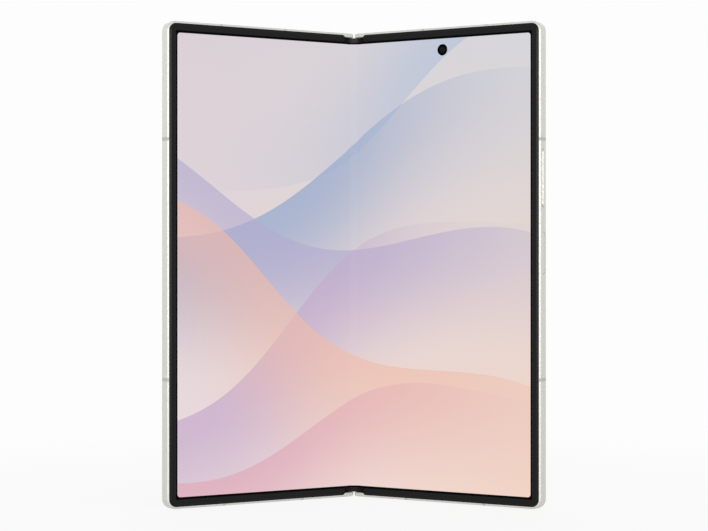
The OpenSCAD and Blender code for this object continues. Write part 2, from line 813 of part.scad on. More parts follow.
module left_battery() on_left() color("#2b2b2e") battery(left_cell_h, left_cell_back);
module right_battery() on_right() color("#2b2b2e") battery(right_cell_h, right_cell_back);

module back_outline_plate(y) plate(y, half_outline(glass_x, glass_inset, corner_r - glass_inset));

module earpiece_slot(gap) block(
    [cover_cam_x - ear_w / 2 - gap, cover_cam_x + ear_w / 2 + gap], [-past, body_t + past],
    [body_h - glass_inset - ear_h - gap, body_h]);

module cover_glass() on_left() color("#101114") difference() {
    back_outline_plate([glass_front, body_t]);
    earpiece_slot(0);
}

module cover_earpiece() on_left() color("#3a3a3c") block(
    [cover_cam_x - ear_w / 2 + glass_gap, cover_cam_x + ear_w / 2 - glass_gap],
    [glass_front, body_t - hole_gap],
    [body_h - glass_inset - ear_h + glass_gap, body_h - glass_inset]);

module cover_display_panel() on_left() color("#23242a") difference() {
    block([glass_x + 0.5, half_w - wall_t - 1], [cover_panel_front, glass_front - glue],
        [wall_t + 1, body_h - wall_t - 1]);
    peg(cover_cam_x, cover_cam_z, cover_cam_r + hole_gap, [0, body_t]);
}

module cover_camera() on_left() color("#15161a") {
    peg(cover_cam_x, cover_cam_z, cover_cam_r, [web_back, glass_front - glue]);
    peg(cover_cam_x, cover_cam_z, cover_cam_r + cam_flange, [web_back, board_back]);
}

module haptic_motor() on_left() color("#a0a3a8")
    block([half_w - haptic_side - haptic_w, half_w - haptic_side], [web_back, left_cell_back],
        [haptic_z, haptic_z + haptic_h]);

module top_speaker() on_left() color("#33353a")
    block([cover_cam_x + speaker_gap, half_w - side_room], [web_back, left_cell_back],
        [body_h - top_room - top_speaker_h, body_h - top_room]);

module sim_reader() on_left() color("#b3b6bb") difference() {
    inner = tray_w / 2 - tray_side + key_gap;
    block([tray_x - inner - reader_wall, tray_x + inner + reader_wall],
        [plate_back + glue, tray_y + tray_t / 2 + reader_wall],
        [body_h - wall_t - tray_l - 2 * reader_wall, body_h - wall_t - reader_wall]);
    block([tray_x - inner, tray_x + inner],
        [tray_y - tray_t / 2 - key_gap, tray_y + tray_t / 2 + key_gap],
        [body_h - wall_t - tray_l - key_gap, body_h]);
}

module sim_tray() on_left() color("#cfcfca") difference() {
    union() {
        edge_bar(tray_x, tray_y, tray_w, tray_head_h, [body_h - wall_t, body_h - power_sink]);
        block([tray_x - tray_w / 2 + tray_side, tray_x + tray_w / 2 - tray_side],
            [tray_y - tray_t / 2, tray_y + tray_t / 2],
            [body_h - wall_t - tray_l, body_h - wall_t / 2]);
    }
    // Hole for the pin that frees the tray
    translate([tray_x + tray_w / 2 - eject_inset, tray_y, body_h - eject_depth])
        cylinder(r = eject_r, h = eject_depth + past);
    // Pocket for the card
    block([tray_x - card_w / 2, tray_x + card_w / 2], [tray_y - tray_t / 2 + card_floor, body_t],
        [card_z, card_z + card_l]);
}

// Right half

module board_shields() on_right() color("#b9bcc1") {
    mid = (right_board[2] + right_board[3]) / 2;
    for (z = [[right_board[2] + 5, mid - 0.5], [mid + 0.5, right_board[3] - 5]])
        block([right_board[0] + 1, flash_x - flash_r - 0.6], [board_back, board_back + shield_t], z);
}

module rear_glass() on_right() color("#e9e9e5") difference() {
    back_outline_plate([glass_front, body_t]);
    plate([0, body_t + past], pill(island_x, island_z, island_w - 3, island_h - 3));
    peg(flash_x, island_z, flash_r + glass_gap, [0, body_t + past]);
}

module camera_island() on_right() color("#cfcfca") difference() {
    plate([body_t, island_back], pill(island_x, island_z, island_w, island_h));
    for (z = lens_z) peg(island_x, z, barrel_r + 0.3, [body_t - past, island_back + past]);
}

module camera_rings() on_right() color("#b9b9b4") for (z = lens_z) difference() {
    peg(island_x, z, ring_r, [island_back, island_back + ring_rise]);
    peg(island_x, z, ring_r - ring_rim, [island_back + ring_rise - 0.35, body_t * 3]);
    peg(island_x, z, ring_r - ring_rim - 0.6, [0, body_t * 3]);
}

module camera_lens_covers() on_right() color("#0c0d10") for (z = lens_z)
    peg(island_x, z, ring_r - ring_rim - glue, [island_back + ring_rise - 0.35,
        island_back + ring_rise - 0.1]);

module camera_modules() on_right() color("#1b1c20") for (z = lens_z) {
    block([island_x - module_w / 2, island_x + module_w / 2], [web_back, body_t - hole_gap],
        [z - module_w / 2, z + module_w / 2]);
    difference() {
        peg(island_x, z, barrel_r, [body_t - 0.2, island_back + ring_rise - 0.5]);
        peg(island_x, z, barrel_r * 0.45, [island_back, body_t * 3]);
    }
}

module camera_flash() on_right() color("#efe7c8")
    peg(flash_x, island_z, flash_r, [board_back, body_t - 0.05]);

module inner_camera() on_right() color("#0a0a0a") {
    peg(punch_x, punch_z, punch_r - hole_gap, [screen_drop + glue, board_back]);
    peg(punch_x, punch_z, punch_r + punch_flange, [web_back, board_back + board_t]);
}

module usb_c_receptacle() on_right() color("#aeb1b6") {
    z = [wall_t + glue, wall_t + glue + port_l];
    difference() {
        port_slot(port_w + 2 * port_wall, port_h + 2 * port_wall, z);
        port_slot(port_w, port_h, [z[0] - past, z[1] - 3 * port_wall]);
    }
    block([port_x - tongue_w / 2, port_x + tongue_w / 2],
        [port_y - tongue_t / 2, port_y + tongue_t / 2], [z[0] + tongue_sink, z[1]]);
}

module usb_board() on_right() color("#1f5a3c")
    block([usb_board_x, usb_board_x + usb_board_w], [board_front, board_back],
        [wall_t + port_l + 4 * glue, web_z0 - 1]);

module loudspeaker() on_right() color("#33353a")
    block([speaker_x - 4, half_w - side_room], [web_back, room_back - post_h],
        [wall_t + 4 * glue, web_z0 - 2]);

module charging_coil() on_right() color("#b06a35") difference() {
    peg(coil_x, coil_z, coil_r, [right_cell_back + glue, right_cell_back + glue + coil_t]);
    peg(coil_x, coil_z, coil_r / 2, [0, body_t]);
}

// Keys: drawn along the side wall, with a lip that holds them in and a nub for the switch

module key(z, l, w, out) {
    inner = half_w - wall_t - glue;
    key_bar([inner - lip_t / 2, half_w + out], w, l, z);
    block([inner - lip_t, inner], [key_y - w / 2, key_y + w / 2],
        [z - l / 2 - key_lip, z + l / 2 + key_lip]);
    block([inner - lip_t - nub_t, inner], [key_y - 0.5, key_y + 0.5], [z - 1, z + 1]);
}

module volume_key() on_right() color("#c4c4be") key(volume_z, volume_l, volume_w, volume_rise);
module power_key() on_right() color("#b9b9b3") key(power_z, power_l, power_w, -power_sink);

module side_key_flex() on_right() color("#b87820")
    block([half_w - switch_n - stiffener_t, half_w - switch_n], [web_back, room_back - 0.4],
        [power_z - power_l / 2 - flex_over, volume_z + volume_l / 2 + flex_over]);

hinge_spine_cover();
hinge_brackets();
hinge_end_caps();
hinge_idler_pins();
hinge_screws();
hinge_flex_cables();
display_crease();
left_frame();
left_antenna_breaks();
left_bezel();
left_display_panel();
left_support_plate();
left_battery();
left_circuit_board();
cover_glass();
cover_display_panel();
cover_camera();
cover_earpiece();
haptic_motor();
top_speaker();
sim_reader();
left_hinge_arms();
left_screws();
right_frame();
right_antenna_breaks();
right_bezel();
right_display_panel();
right_support_plate();
right_battery();
main_board();
board_shields();
rear_glass();
camera_island();
camera_rings();
camera_lens_covers();
camera_modules();
camera_flash();
inner_camera();
usb_c_receptacle();
usb_board();
loudspeaker();
charging_coil();
right_hinge_arms();
right_screws();
side_key_flex();
volume_key();
power_key();
sim_tray();
left_idler_gears();
right_idler_gears();
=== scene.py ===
"""Looks of a foldable phone that opens like a book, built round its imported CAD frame.

Each half is described flat, as its maker would draw it: x runs out from the hinge line, y from
the screen side to the back, z up, in millimetres. A HalfPlace turns a flat point into the row
frame in metres, folded as the frame is, so every piece lies where the CAD says.
"""

import json
import logging
import math
from collections.abc import Callable, Iterable, Sequence
from dataclasses import dataclass, field
from enum import Enum

import bmesh
import bpy
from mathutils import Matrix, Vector

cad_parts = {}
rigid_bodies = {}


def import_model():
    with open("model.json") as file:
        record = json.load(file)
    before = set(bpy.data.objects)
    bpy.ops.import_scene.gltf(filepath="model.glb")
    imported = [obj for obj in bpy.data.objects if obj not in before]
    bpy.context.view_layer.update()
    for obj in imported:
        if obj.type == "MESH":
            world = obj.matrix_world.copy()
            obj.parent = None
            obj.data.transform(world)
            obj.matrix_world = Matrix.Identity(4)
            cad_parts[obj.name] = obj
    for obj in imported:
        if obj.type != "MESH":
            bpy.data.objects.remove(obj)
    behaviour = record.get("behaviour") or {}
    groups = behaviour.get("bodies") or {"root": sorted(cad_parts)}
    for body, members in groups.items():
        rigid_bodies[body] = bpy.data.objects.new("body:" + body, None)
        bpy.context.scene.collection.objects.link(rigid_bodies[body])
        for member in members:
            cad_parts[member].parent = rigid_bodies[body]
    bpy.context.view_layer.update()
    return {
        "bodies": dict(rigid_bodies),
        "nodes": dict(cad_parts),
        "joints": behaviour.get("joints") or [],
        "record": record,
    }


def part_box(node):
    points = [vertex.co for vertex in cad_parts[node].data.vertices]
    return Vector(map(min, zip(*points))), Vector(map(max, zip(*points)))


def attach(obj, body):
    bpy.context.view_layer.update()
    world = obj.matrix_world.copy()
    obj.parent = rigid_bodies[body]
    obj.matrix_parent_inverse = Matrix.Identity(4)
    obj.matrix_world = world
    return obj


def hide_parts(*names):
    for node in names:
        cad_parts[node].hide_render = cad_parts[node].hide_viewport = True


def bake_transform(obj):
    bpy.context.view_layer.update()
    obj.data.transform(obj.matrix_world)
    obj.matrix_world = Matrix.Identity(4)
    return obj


MM = 0.001
SPINE_BODY = "hinge_spine"
PAPER = "#fdfdfd"

# Sockets of a colour Mix node, whose names repeat
FACTOR, COLOUR_A, COLOUR_B = 0, 6, 7
# The middle half of a noise's values, where most of them lie
NOISE_LOW, NOISE_HIGH = 0.25, 0.75
# In a copied node, points this close in metres are one, and faces this close in degrees are too
WELD, FLAT_DEG = 1e-6, 0.3
# The angle between faces, in degrees, from which a copied node's edges are eased or stay sharp
EASED_DEG, SHARP_DEG = 35.0, 28.0

log = logging.getLogger("phone")

Point = tuple[float, float]
Colour = tuple[float, float, float, float]
Tree = bpy.types.NodeTree
Feed = bpy.types.Node | bpy.types.NodeSocket


class Side(Enum):
    """The two halves, by the sign of x on which they lie."""

    LEFT = -1
    RIGHT = 1

    @property
    def word(self) -> str:
        """The side's name as the CAD nodes and bodies use it."""
        return self.name.lower()

    @property
    def body(self) -> str:
        """The CAD body of this half."""
        return f"{self.word}_half"


class Grain(Enum):
    """How a surface was made, which sets the pattern of its grain."""

    BLASTED = "bead blasted"
    BRUSHED = "brushed up the piece"
    MOULDED = "moulded"
    POLISHED = "polished"
    WOVEN = "woven"


def linear(hex_colour: str) -> Colour:
    """Turns an sRGB hex colour into linear light.

    Args:
        hex_colour: The colour as "#rrggbb".

    Returns:
        Red, green, blue and alpha, from 0 to 1.
    """
    parts = [int(hex_colour[i : i + 2], 16) / 255 for i in (1, 3, 5)]
    return (*[c / 12.92 if c <= 0.04045 else ((c + 0.055) / 1.055) ** 2.4 for c in parts], 1.0)


def add_node(
    tree: Tree, kind: str, inputs: dict | None = None, **settings: object
) -> bpy.types.Node:
    """Adds a node with its settings and links.

    Args:
        tree: The node tree.
        kind: The node's type.
        inputs: For an input's name or number, its value or what feeds it: a socket, or a node,
            whose first output in use then does.
        settings: The node's own options.

    Returns:
        The node.
    """
    node = tree.nodes.new(kind)
    for key, value in settings.items():
        setattr(node, key, value)
    for key, value in (inputs or {}).items():
        if isinstance(value, bpy.types.Node):
            value = next(output for output in value.outputs if output.enabled)
        if isinstance(value, bpy.types.NodeSocket):
            tree.links.new(value, node.inputs[key])
        else:
            node.inputs[key].default_value = value
    return node


@dataclass(frozen=True)
class Surface:
    """A finish, whose material is made once and kept under its name."""

    name: str

    def build(self) -> bpy.types.Material:
        """Makes the material, or gives the one already made.

        Returns:
            The material.
        """
        material = bpy.data.materials.get(self.name)
        if material is None:
            material = bpy.data.materials.new(self.name)
            material.use_nodes = True
            tree = material.node_tree
            tree.nodes.clear()
            add_node(tree, "ShaderNodeOutputMaterial", {"Surface": self.shader(tree)})
        return material

    def shader(self, tree: Tree) -> bpy.types.Node:
        """Builds the nodes, up to the shader.

        Args:
            tree: The material's empty tree.

        Returns:
            The shader.
        """
        raise NotImplementedError


@dataclass(frozen=True)
class Finish(Surface):
    """A solid surface: its colour, gloss and grain.

    The grain is drawn on Object coordinates, at its size in millimetres.
    """

    colour: str
    grain: Grain = Grain.MOULDED
    metallic: float = 0.0
    roughness: float = 0.5
    specular: float = 0.5
    coat: float = 0.0
    coat_roughness: float = 0.05
    grain_mm: float = 0.4
    depth_mm: float = 0.004
    spread: float = 0.05
    haze: float = 0.05
    cloud_mm: float = 18.0
    stroke: float = 0.015

    def shader(self, tree: Tree) -> bpy.types.Node:
        """Builds the grain, faint clouds of colour and the gloss.

        Args:
            tree: The material's empty tree.

        Returns:
            The shader.
        """
        place = add_node(tree, "ShaderNodeTexCoord").outputs["Object"]
        fine = self._pattern(tree, place)
        cloud = add_node(tree, "ShaderNodeTexNoise", {
            "Vector": place, "Scale": 1 / (self.cloud_mm * MM), "Detail": 2.0,
        })
        shade = add_node(tree, "ShaderNodeMix", {
            FACTOR: cloud, COLOUR_A: self._shifted(1 - self.spread),
            COLOUR_B: self._shifted(1 + self.spread),
        }, data_type="RGBA")
        rough = add_node(tree, "ShaderNodeMapRange", {
            "Value": fine, "From Min": NOISE_LOW, "From Max": NOISE_HIGH,
            "To Min": max(self.roughness - self.haze, 0.02),
            "To Max": min(self.roughness + self.haze, 1.0),
        })
        bump = add_node(tree, "ShaderNodeBump", {
            "Height": fine, "Strength": 0.5, "Distance": self.depth_mm * MM,
        })
        return add_node(tree, "ShaderNodeBsdfPrincipled", {
            "Base Color": shade, "Metallic": self.metallic, "Roughness": rough,
            "Specular IOR Level": self.specular, "Coat Weight": self.coat,
            "Coat Roughness": self.coat_roughness, "Normal": bump,
        })

    def _pattern(self, tree: Tree, place: bpy.types.NodeSocket) -> Feed:
        """Builds the grain.

        Args:
            tree: The material's tree.
            place: The place on the piece, in metres.

        Returns:
            Its height, from 0 to 1.
        """
        stretch = (1.0, 1.0, self.stroke if self.grain is Grain.BRUSHED else 1.0)
        mapped = add_node(tree, "ShaderNodeMapping", {"Vector": place, "Scale": stretch})
        given = {"Vector": mapped, "Scale": 1 / (self.grain_mm * MM)}
        if self.grain is Grain.WOVEN:
            return add_node(tree, "ShaderNodeTexChecker", given).outputs["Fac"]
        detail = {Grain.BLASTED: 3.0, Grain.BRUSHED: 4.0, Grain.POLISHED: 1.0}.get(self.grain, 2.0)
        return add_node(tree, "ShaderNodeTexNoise", {**given, "Detail": detail})

    def _shifted(self, share: float) -> Colour:
        """The colour, lighter or darker by a share."""
        return (*[min(part * share, 1.0) for part in linear(self.colour)[:3]], 1.0)


# Anodised aluminium, bead blasted before it is dyed: an even silky white silver. Real grit is
# under 0.1 mm and is drawn coarser, so that it shows at all
FRAME_ALUMINIUM = Finish(
    "anodised_aluminium_white_silver", "#d0d0ca", Grain.BLASTED, 0.6, 0.42,
    grain_mm=0.25, depth_mm=0.0012, spread=0.01, haze=0.03,
)
# The hinge cover's aluminium is brushed along the hinge, then anodised: fine lines up the spine
SPINE_ALUMINIUM = Finish(
    "brushed_aluminium_silver", "#cfcfca", Grain.BRUSHED, 0.85, 0.3,
    grain_mm=0.12, depth_mm=0.004, spread=0.03, haze=0.08,
)
# Glass-filled nylon moulded into the frame's gaps and machined flush: matt, a shade darker
ANTENNA_NYLON = Finish(
    "filled_nylon_grey", "#bebeb9", Grain.MOULDED, 0.0, 0.55,
    grain_mm=0.3, depth_mm=0.002, spread=0.02,
)
# Thermoplastic polyurethane, moulded, soft to the touch: near black with a dull sheen
BEZEL_TPU = Finish(
    "polyurethane_trim_black", "#050505", Grain.MOULDED, 0.0, 0.22, specular=0.2,
    grain_mm=0.35, depth_mm=0.0012, spread=0.08, haze=0.03,
)
# Polycarbonate hinge caps, moulded with a finer, glossier face
CAP_POLYCARBONATE = Finish(
    "polycarbonate_black", "#040404", Grain.MOULDED, 0.0, 0.3, specular=0.13,
    grain_mm=0.3, depth_mm=0.002, spread=0.08, haze=0.04,
)
# Keys are the frame's aluminium with diamond-cut edges: a little smoother
KEY_ALUMINIUM = Finish(
    "anodised_aluminium_key", "#cdcdc7", Grain.BLASTED, 0.75, 0.3,
    grain_mm=0.2, depth_mm=0.002, spread=0.012, haze=0.04,
)
# Etched glass over a white print: satin to the touch, with a soft wide highlight
REAR_GLASS = Finish(
    "etched_glass_white", "#e6e6e2", Grain.BLASTED, 0.0, 0.34, coat=0.25,
    coat_roughness=0.28, grain_mm=0.3, depth_mm=0.0015, spread=0.012, haze=0.04,
)
# The camera plinth is milled from the frame's alloy and blasted finer than it
ISLAND_ALUMINIUM = Finish(
    "anodised_aluminium_plinth", "#d2d2cd", Grain.BLASTED, 0.7, 0.32,
    grain_mm=0.22, depth_mm=0.002, spread=0.012, haze=0.05,
)
# Lens rings are stainless steel turned on a lathe and polished
RING_STEEL = Finish(
    "polished_stainless_steel", "#c4c4c2", Grain.POLISHED, 1.0, 0.16,
    grain_mm=1.5, depth_mm=0.0005, spread=0.02, haze=0.04,
)
# Black printed margin under each lens cover
LENS_PRINT = Finish(
    "sapphire_over_black_print", "#050506", Grain.POLISHED, 0.0, 0.05, coat=0.8,
    coat_roughness=0.02, grain_mm=6, depth_mm=0.0004, spread=0.05, haze=0.015,
)
# The inner camera's window lies under the screen's own cover, so its black print hardly shines
INNER_PRINT = Finish(
    "black_print_under_polymer", "#030303", Grain.POLISHED, 0.0, 0.2, specular=0.01,
    grain_mm=6, depth_mm=0.0004, spread=0.05, haze=0.015,
)
# Blackened baffles inside the lens, which give almost no light back
LENS_BAFFLE = Finish(
    "blackened_lens_baffle", "#0b0b0c", Grain.BLASTED, 0.0, 0.6, specular=0.2,
    grain_mm=0.15, depth_mm=0.002, spread=0.1,
)
# Moulded silicone diffuser over the light-emitting diode: pale straw, cloudy
FLASH_SILICONE = Finish(
    "silicone_flash_diffuser", "#efe6c4", Grain.WOVEN, 0.0, 0.3, coat=0.4,
    grain_mm=0.45, depth_mm=0.02, spread=0.04,
)
# Sound mesh woven from blackened steel wire, drawn at a pitch that shows
SOUND_MESH = Finish(
    "woven_steel_mesh", "#17181a", Grain.WOVEN, 0.6, 0.45,
    grain_mm=0.18, depth_mm=0.03, spread=0.05,
)
# Gold flashed copper alloy of the connector's contacts
CONTACT_GOLD = Finish(
    "gold_plated_contact", "#d9b463", Grain.POLISHED, 1.0, 0.22,
    grain_mm=0.4, depth_mm=0.0008, spread=0.03,
)
# Stamped stainless steel, as rolled, with a faint direction
SHEET_STEEL = Finish(
    "rolled_stainless_steel", "#a9acb0", Grain.BRUSHED, 1.0, 0.34,
    grain_mm=0.2, depth_mm=0.003, spread=0.04, haze=0.08,
)
# Hinge blocks and arms: amorphous alloy, cast and tumbled to a dull grey
CAST_ALLOY = Finish(
    "tumbled_cast_alloy", "#7d8186", Grain.BLASTED, 0.9, 0.42,
    grain_mm=0.4, depth_mm=0.006, spread=0.06, haze=0.08,
)
# Screws and pins: bright zinc on hardened steel
ZINC_STEEL = Finish(
    "zinc_plated_steel", "#a3a7ad", Grain.POLISHED, 1.0, 0.28,
    grain_mm=0.5, depth_mm=0.002, spread=0.04,
)
# Idler gears: sintered bronze, oiled
SINTERED_BRONZE = Finish(
    "sintered_bronze", "#b79c5c", Grain.BLASTED, 0.9, 0.4,
    grain_mm=0.15, depth_mm=0.004, spread=0.08,
)
# Pouch cells in black laminate, slightly wrinkled and satin
CELL_LAMINATE = Finish(
    "battery_laminate_black", "#26262a", Grain.MOULDED, 0.1, 0.45,
    grain_mm=3.5, depth_mm=0.05, spread=0.1,
)
# Polyimide film with copper under it: amber and glossy
POLYIMIDE = Finish(
    "polyimide_film_amber", "#b4701c", Grain.POLISHED, 0.0, 0.28, coat=0.3,
    grain_mm=2, depth_mm=0.004, spread=0.12,
)
# Enamelled copper wire, wound flat: warm, with fine turns
COIL_COPPER = Finish(
    "enamelled_copper_winding", "#b06a35", Grain.BLASTED, 0.9, 0.32,
    grain_mm=0.3, depth_mm=0.01, spread=0.1,
)
# Liquid crystal polymer housings of the speakers and motors: matt charcoal
SPEAKER_LCP = Finish(
    "liquid_crystal_polymer_charcoal", "#2f3034", Grain.MOULDED, 0.0, 0.55,
    grain_mm=0.5, depth_mm=0.006, spread=0.08,
)
# Back of a display module: graphite sheet, dark and leafy
GRAPHITE = Finish(
    "graphite_sheet", "#2b2c2f", Grain.BLASTED, 0.5, 0.5,
    grain_mm=0.8, depth_mm=0.006, spread=0.15,
)


@dataclass(frozen=True)
class BoardFinish(Surface):
    """Green solder mask over etched copper: tracks and rows of small parts show through."""

    name: str = "solder_mask_green"
    mask: str = "#174a31"
    track: str = "#2f7a52"
    part: str = "#1a1a1c"
    track_mm: float = 0.5
    part_mm: float = 2.2
    track_edge: Point = (0.04, 0.09)
    part_edge: Point = (0.22, 0.24)
    part_rise_mm: float = 0.1

    def shader(self, tree: Tree) -> bpy.types.Node:
        """Builds the mask, its tracks and its raised parts.

        Args:
            tree: The material's empty tree.

        Returns:
            The shader.
        """
        place = add_node(tree, "ShaderNodeTexCoord").outputs["Object"]
        tracks = add_node(tree, "ShaderNodeTexVoronoi", {
            "Vector": place, "Scale": 1 / (4 * self.track_mm * MM),
        }, feature="DISTANCE_TO_EDGE")
        cells = add_node(tree, "ShaderNodeTexVoronoi", {
            "Vector": place, "Scale": 1 / (self.part_mm * MM), "Randomness": 0.6,
        }, distance="CHEBYCHEV")
        colour = linear(self.mask)
        for far, edge, over in (
            (tracks, self.track_edge, self.track), (cells, self.part_edge, self.part)
        ):
            chip = add_node(tree, "ShaderNodeMapRange", {
                "Value": far, "From Min": edge[0], "From Max": edge[1],
                "To Min": 1.0, "To Max": 0.0,
            })
            colour = add_node(tree, "ShaderNodeMix", {
                FACTOR: chip, COLOUR_A: colour, COLOUR_B: linear(over),
            }, data_type="RGBA")
        bump = add_node(tree, "ShaderNodeBump", {
            "Height": chip, "Strength": 0.6, "Distance": self.part_rise_mm * MM,
        })
        return add_node(tree, "ShaderNodeBsdfPrincipled", {
            "Base Color": colour, "Roughness": 0.35, "Normal": bump,
        })


@dataclass(frozen=True)
class Pane:
    """A rectangle with round corners on a flat screen, in millimetres."""

    x: float
    z: float
    half_w: float
    half_h: float
    corner: float
    soft: float = 0.03

    def mask(self, tree: Tree, place: Feed) -> bpy.types.Node:
        """Makes a value that is 1 on the pane and 0 round it.

        Args:
            tree: The material's tree.
            place: The place on the flat screen, in metres.

        Returns:
            The value.
        """
        core = ((self.half_w - self.corner) * MM, (self.half_h - self.corner) * MM, 0.0)
        beyond = place
        for operation, other in (
            ("SUBTRACT", (self.x * MM, self.z * MM, 0.0)), ("ABSOLUTE", (0.0, 0.0, 0.0)),
            ("SUBTRACT", core), ("MAXIMUM", (0.0, 0.0, 0.0)), ("LENGTH", (0.0, 0.0, 0.0)),
        ):
            beyond = add_node(
                tree, "ShaderNodeVectorMath", {0: beyond, 1: other}, operation=operation
            )
        return add_node(tree, "ShaderNodeMapRange", {
            "Value": beyond, "From Min": (self.corner - self.soft) * MM,
            "From Max": (self.corner + self.soft) * MM, "To Min": 1.0, "To Max": 0.0,
        })


@dataclass(frozen=True)
class DarkScreen(Surface):
    """Float glass over a screen that is off: a deep mirror-like black, blackest round the screen.

    The piece's own UV map holds the place on the flat half, in metres.
    """

    name: str = "cover_glass_over_dark_screen"
    border: str = "#040405"
    panel: str = "#131419"
    pane: Pane = Pane(37.6, 79.2, 30.9, 75.3, 2.2)
    roughness: Point = (0.05, 0.09)
    cloud_mm: float = 9.0

    def shader(self, tree: Tree) -> bpy.types.Node:
        """Builds the border, the dark panel and the gloss.

        Args:
            tree: The material's empty tree.

        Returns:
            The shader.
        """
        place = add_node(tree, "ShaderNodeUVMap")
        shade = add_node(tree, "ShaderNodeMix", {
            FACTOR: self.pane.mask(tree, place), COLOUR_A: linear(self.border),
            COLOUR_B: linear(self.panel),
        }, data_type="RGBA")
        cloud = add_node(tree, "ShaderNodeTexNoise", {
            "Vector": place, "Scale": 1 / (self.cloud_mm * MM), "Detail": 1.0,
        })
        rough = add_node(tree, "ShaderNodeMapRange", {
            "Value": cloud, "To Min": self.roughness[0], "To Max": self.roughness[1],
        })
        return add_node(tree, "ShaderNodeBsdfPrincipled", {
            "Base Color": shade, "Roughness": rough, "Specular IOR Level": 0.22,
        })


@dataclass(frozen=True)
class Veil:
    """One translucent layer of the wallpaper: a wavy crisp edge that it fades away from."""

    x: float
    z: float
    turn_deg: float
    sway: float
    length: float
    fade: float
    colour: str
    strength: float


@dataclass(frozen=True)
class LitScreen(Surface):
    """Flexible light-emitting screen under a soft polymer cover, showing a pastel wallpaper.

    The piece's own UV map holds the place on the flat screen, in metres from the hinge line and
    from the bottom edge. The wallpaper is a plain gradient under soft wavy veils.
    """

    name: str = "lit_polymer_screen"
    pane: Pane = Pane(0.0, 79.2, 67.85, 75.4, 1.0)
    edge: float = 0.12
    veil_ends: Point = (-90.0, 20.0)
    ripple_mm: float = 14.0
    ripple_depth_mm: float = 0.02
    corners: tuple[str, str, str, str] = ("#eadadd", "#f2d6c8", "#dad0d6", "#d6d6da")
    veils: tuple[Veil, ...] = (
        Veil(20, 134, 24, 9, 150, 40, "#b4c1d8", 0.65),
        Veil(-6, 116, 196, 12, 190, 52, "#98acce", 0.8),
        Veil(24, 88, 168, 11, 160, 46, "#b3abcf", 0.65),
        Veil(-26, 60, 203, 13, 170, 50, "#c3a7cb", 0.7),
        Veil(34, 44, 156, 10, 150, 54, "#efbba6", 0.6),
        Veil(-18, 24, 191, 8, 140, 38, "#dfa6b6", 0.65),
    )

    def shader(self, tree: Tree) -> bpy.types.Node:
        """Builds the picture, its light and the cover's faint ripple.

        Args:
            tree: The material's empty tree.

        Returns:
            The shader.
        """
        place = add_node(tree, "ShaderNodeUVMap")
        picture = self._gradient(tree, place)
        for veil in self.veils:
            picture = self._overlay(tree, place, picture, veil)
        lit = add_node(tree, "ShaderNodeMix", {
            FACTOR: self.pane.mask(tree, place), COLOUR_A: (0, 0, 0, 1), COLOUR_B: picture,
        }, data_type="RGBA")
        ripple = add_node(tree, "ShaderNodeTexNoise", {
            "Vector": place, "Scale": 1 / (self.ripple_mm * MM), "Detail": 1.0,
        })
        bump = add_node(tree, "ShaderNodeBump", {
            "Height": ripple, "Strength": 0.3, "Distance": self.ripple_depth_mm * MM,
        })
        return add_node(tree, "ShaderNodeBsdfPrincipled", {
            "Base Color": linear("#020202"), "Roughness": 0.12, "Specular IOR Level": 0.025,
            "Emission Color": lit, "Emission Strength": 1.0, "Normal": bump,
        })

    def _gradient(self, tree: Tree, place: Feed) -> bpy.types.Node:
        """Builds the wallpaper's ground, a blend between its four corners.

        Args:
            tree: The material's tree.
            place: The place on the flat screen.

        Returns:
            The colour.
        """
        wide, high = self.pane.half_w * MM, self.pane.half_h * MM
        share = add_node(tree, "ShaderNodeMapping", {
            "Vector": place, "Location": (-wide, self.pane.z * MM - high, 0.0),
            "Scale": (2 * wide, 2 * high, 1.0),
        }, vector_type="TEXTURE")
        axes = add_node(tree, "ShaderNodeSeparateXYZ", {"Vector": share}).outputs
        low, top = (
            add_node(tree, "ShaderNodeMix", {
                FACTOR: axes["X"], COLOUR_A: linear(left), COLOUR_B: linear(right),
            }, data_type="RGBA")
            for left, right in (self.corners[:2], self.corners[2:])
        )
        return add_node(tree, "ShaderNodeMix", {
            FACTOR: axes["Y"], COLOUR_A: low, COLOUR_B: top,
        }, data_type="RGBA")

    def _overlay(self, tree: Tree, place: Feed, under: Feed, veil: Veil) -> bpy.types.Node:
        """Lays one translucent veil over what is under it.

        Args:
            tree: The material's tree.
            place: The place on the flat screen.
            under: The colour under the veil.
            veil: The veil.

        Returns:
            The colour with the veil.
        """
        local = add_node(tree, "ShaderNodeMapping", {
            "Vector": place, "Location": (veil.x * MM, veil.z * MM, 0.0),
            "Rotation": (0.0, 0.0, math.radians(veil.turn_deg)), "Scale": (MM, MM, 1.0),
        }, vector_type="TEXTURE")
        axes = add_node(tree, "ShaderNodeSeparateXYZ", {"Vector": local}).outputs
        wave = axes["X"]
        for operation, other in (
            ("MULTIPLY", 2 * math.pi / veil.length), ("SINE", 0.0), ("MULTIPLY", veil.sway)
        ):
            wave = add_node(tree, "ShaderNodeMath", {0: wave, 1: other}, operation=operation)
        far = add_node(tree, "ShaderNodeMath", {0: axes["Y"], 1: wave}, operation="SUBTRACT")
        cover = None
        for value, ends, shares, kind in (
            (far, (0.0, self.edge), (0.0, 1.0), "LINEAR"),
            (far, (0.0, veil.fade), (veil.strength, 0.0), "SMOOTHSTEP"),
            (axes["X"], self.veil_ends, (0.1, 1.0), "SMOOTHSTEP"),
        ):
            share = add_node(tree, "ShaderNodeMapRange", {
                "Value": value, "From Min": ends[0], "From Max": ends[1],
                "To Min": shares[0], "To Max": shares[1],
            }, interpolation_type=kind)
            cover = share if cover is None else add_node(
                tree, "ShaderNodeMath", {0: cover, 1: share}, operation="MULTIPLY"
            )
        return add_node(tree, "ShaderNodeMix", {
            FACTOR: cover, COLOUR_A: under, COLOUR_B: linear(veil.colour),
        }, data_type="RGBA")


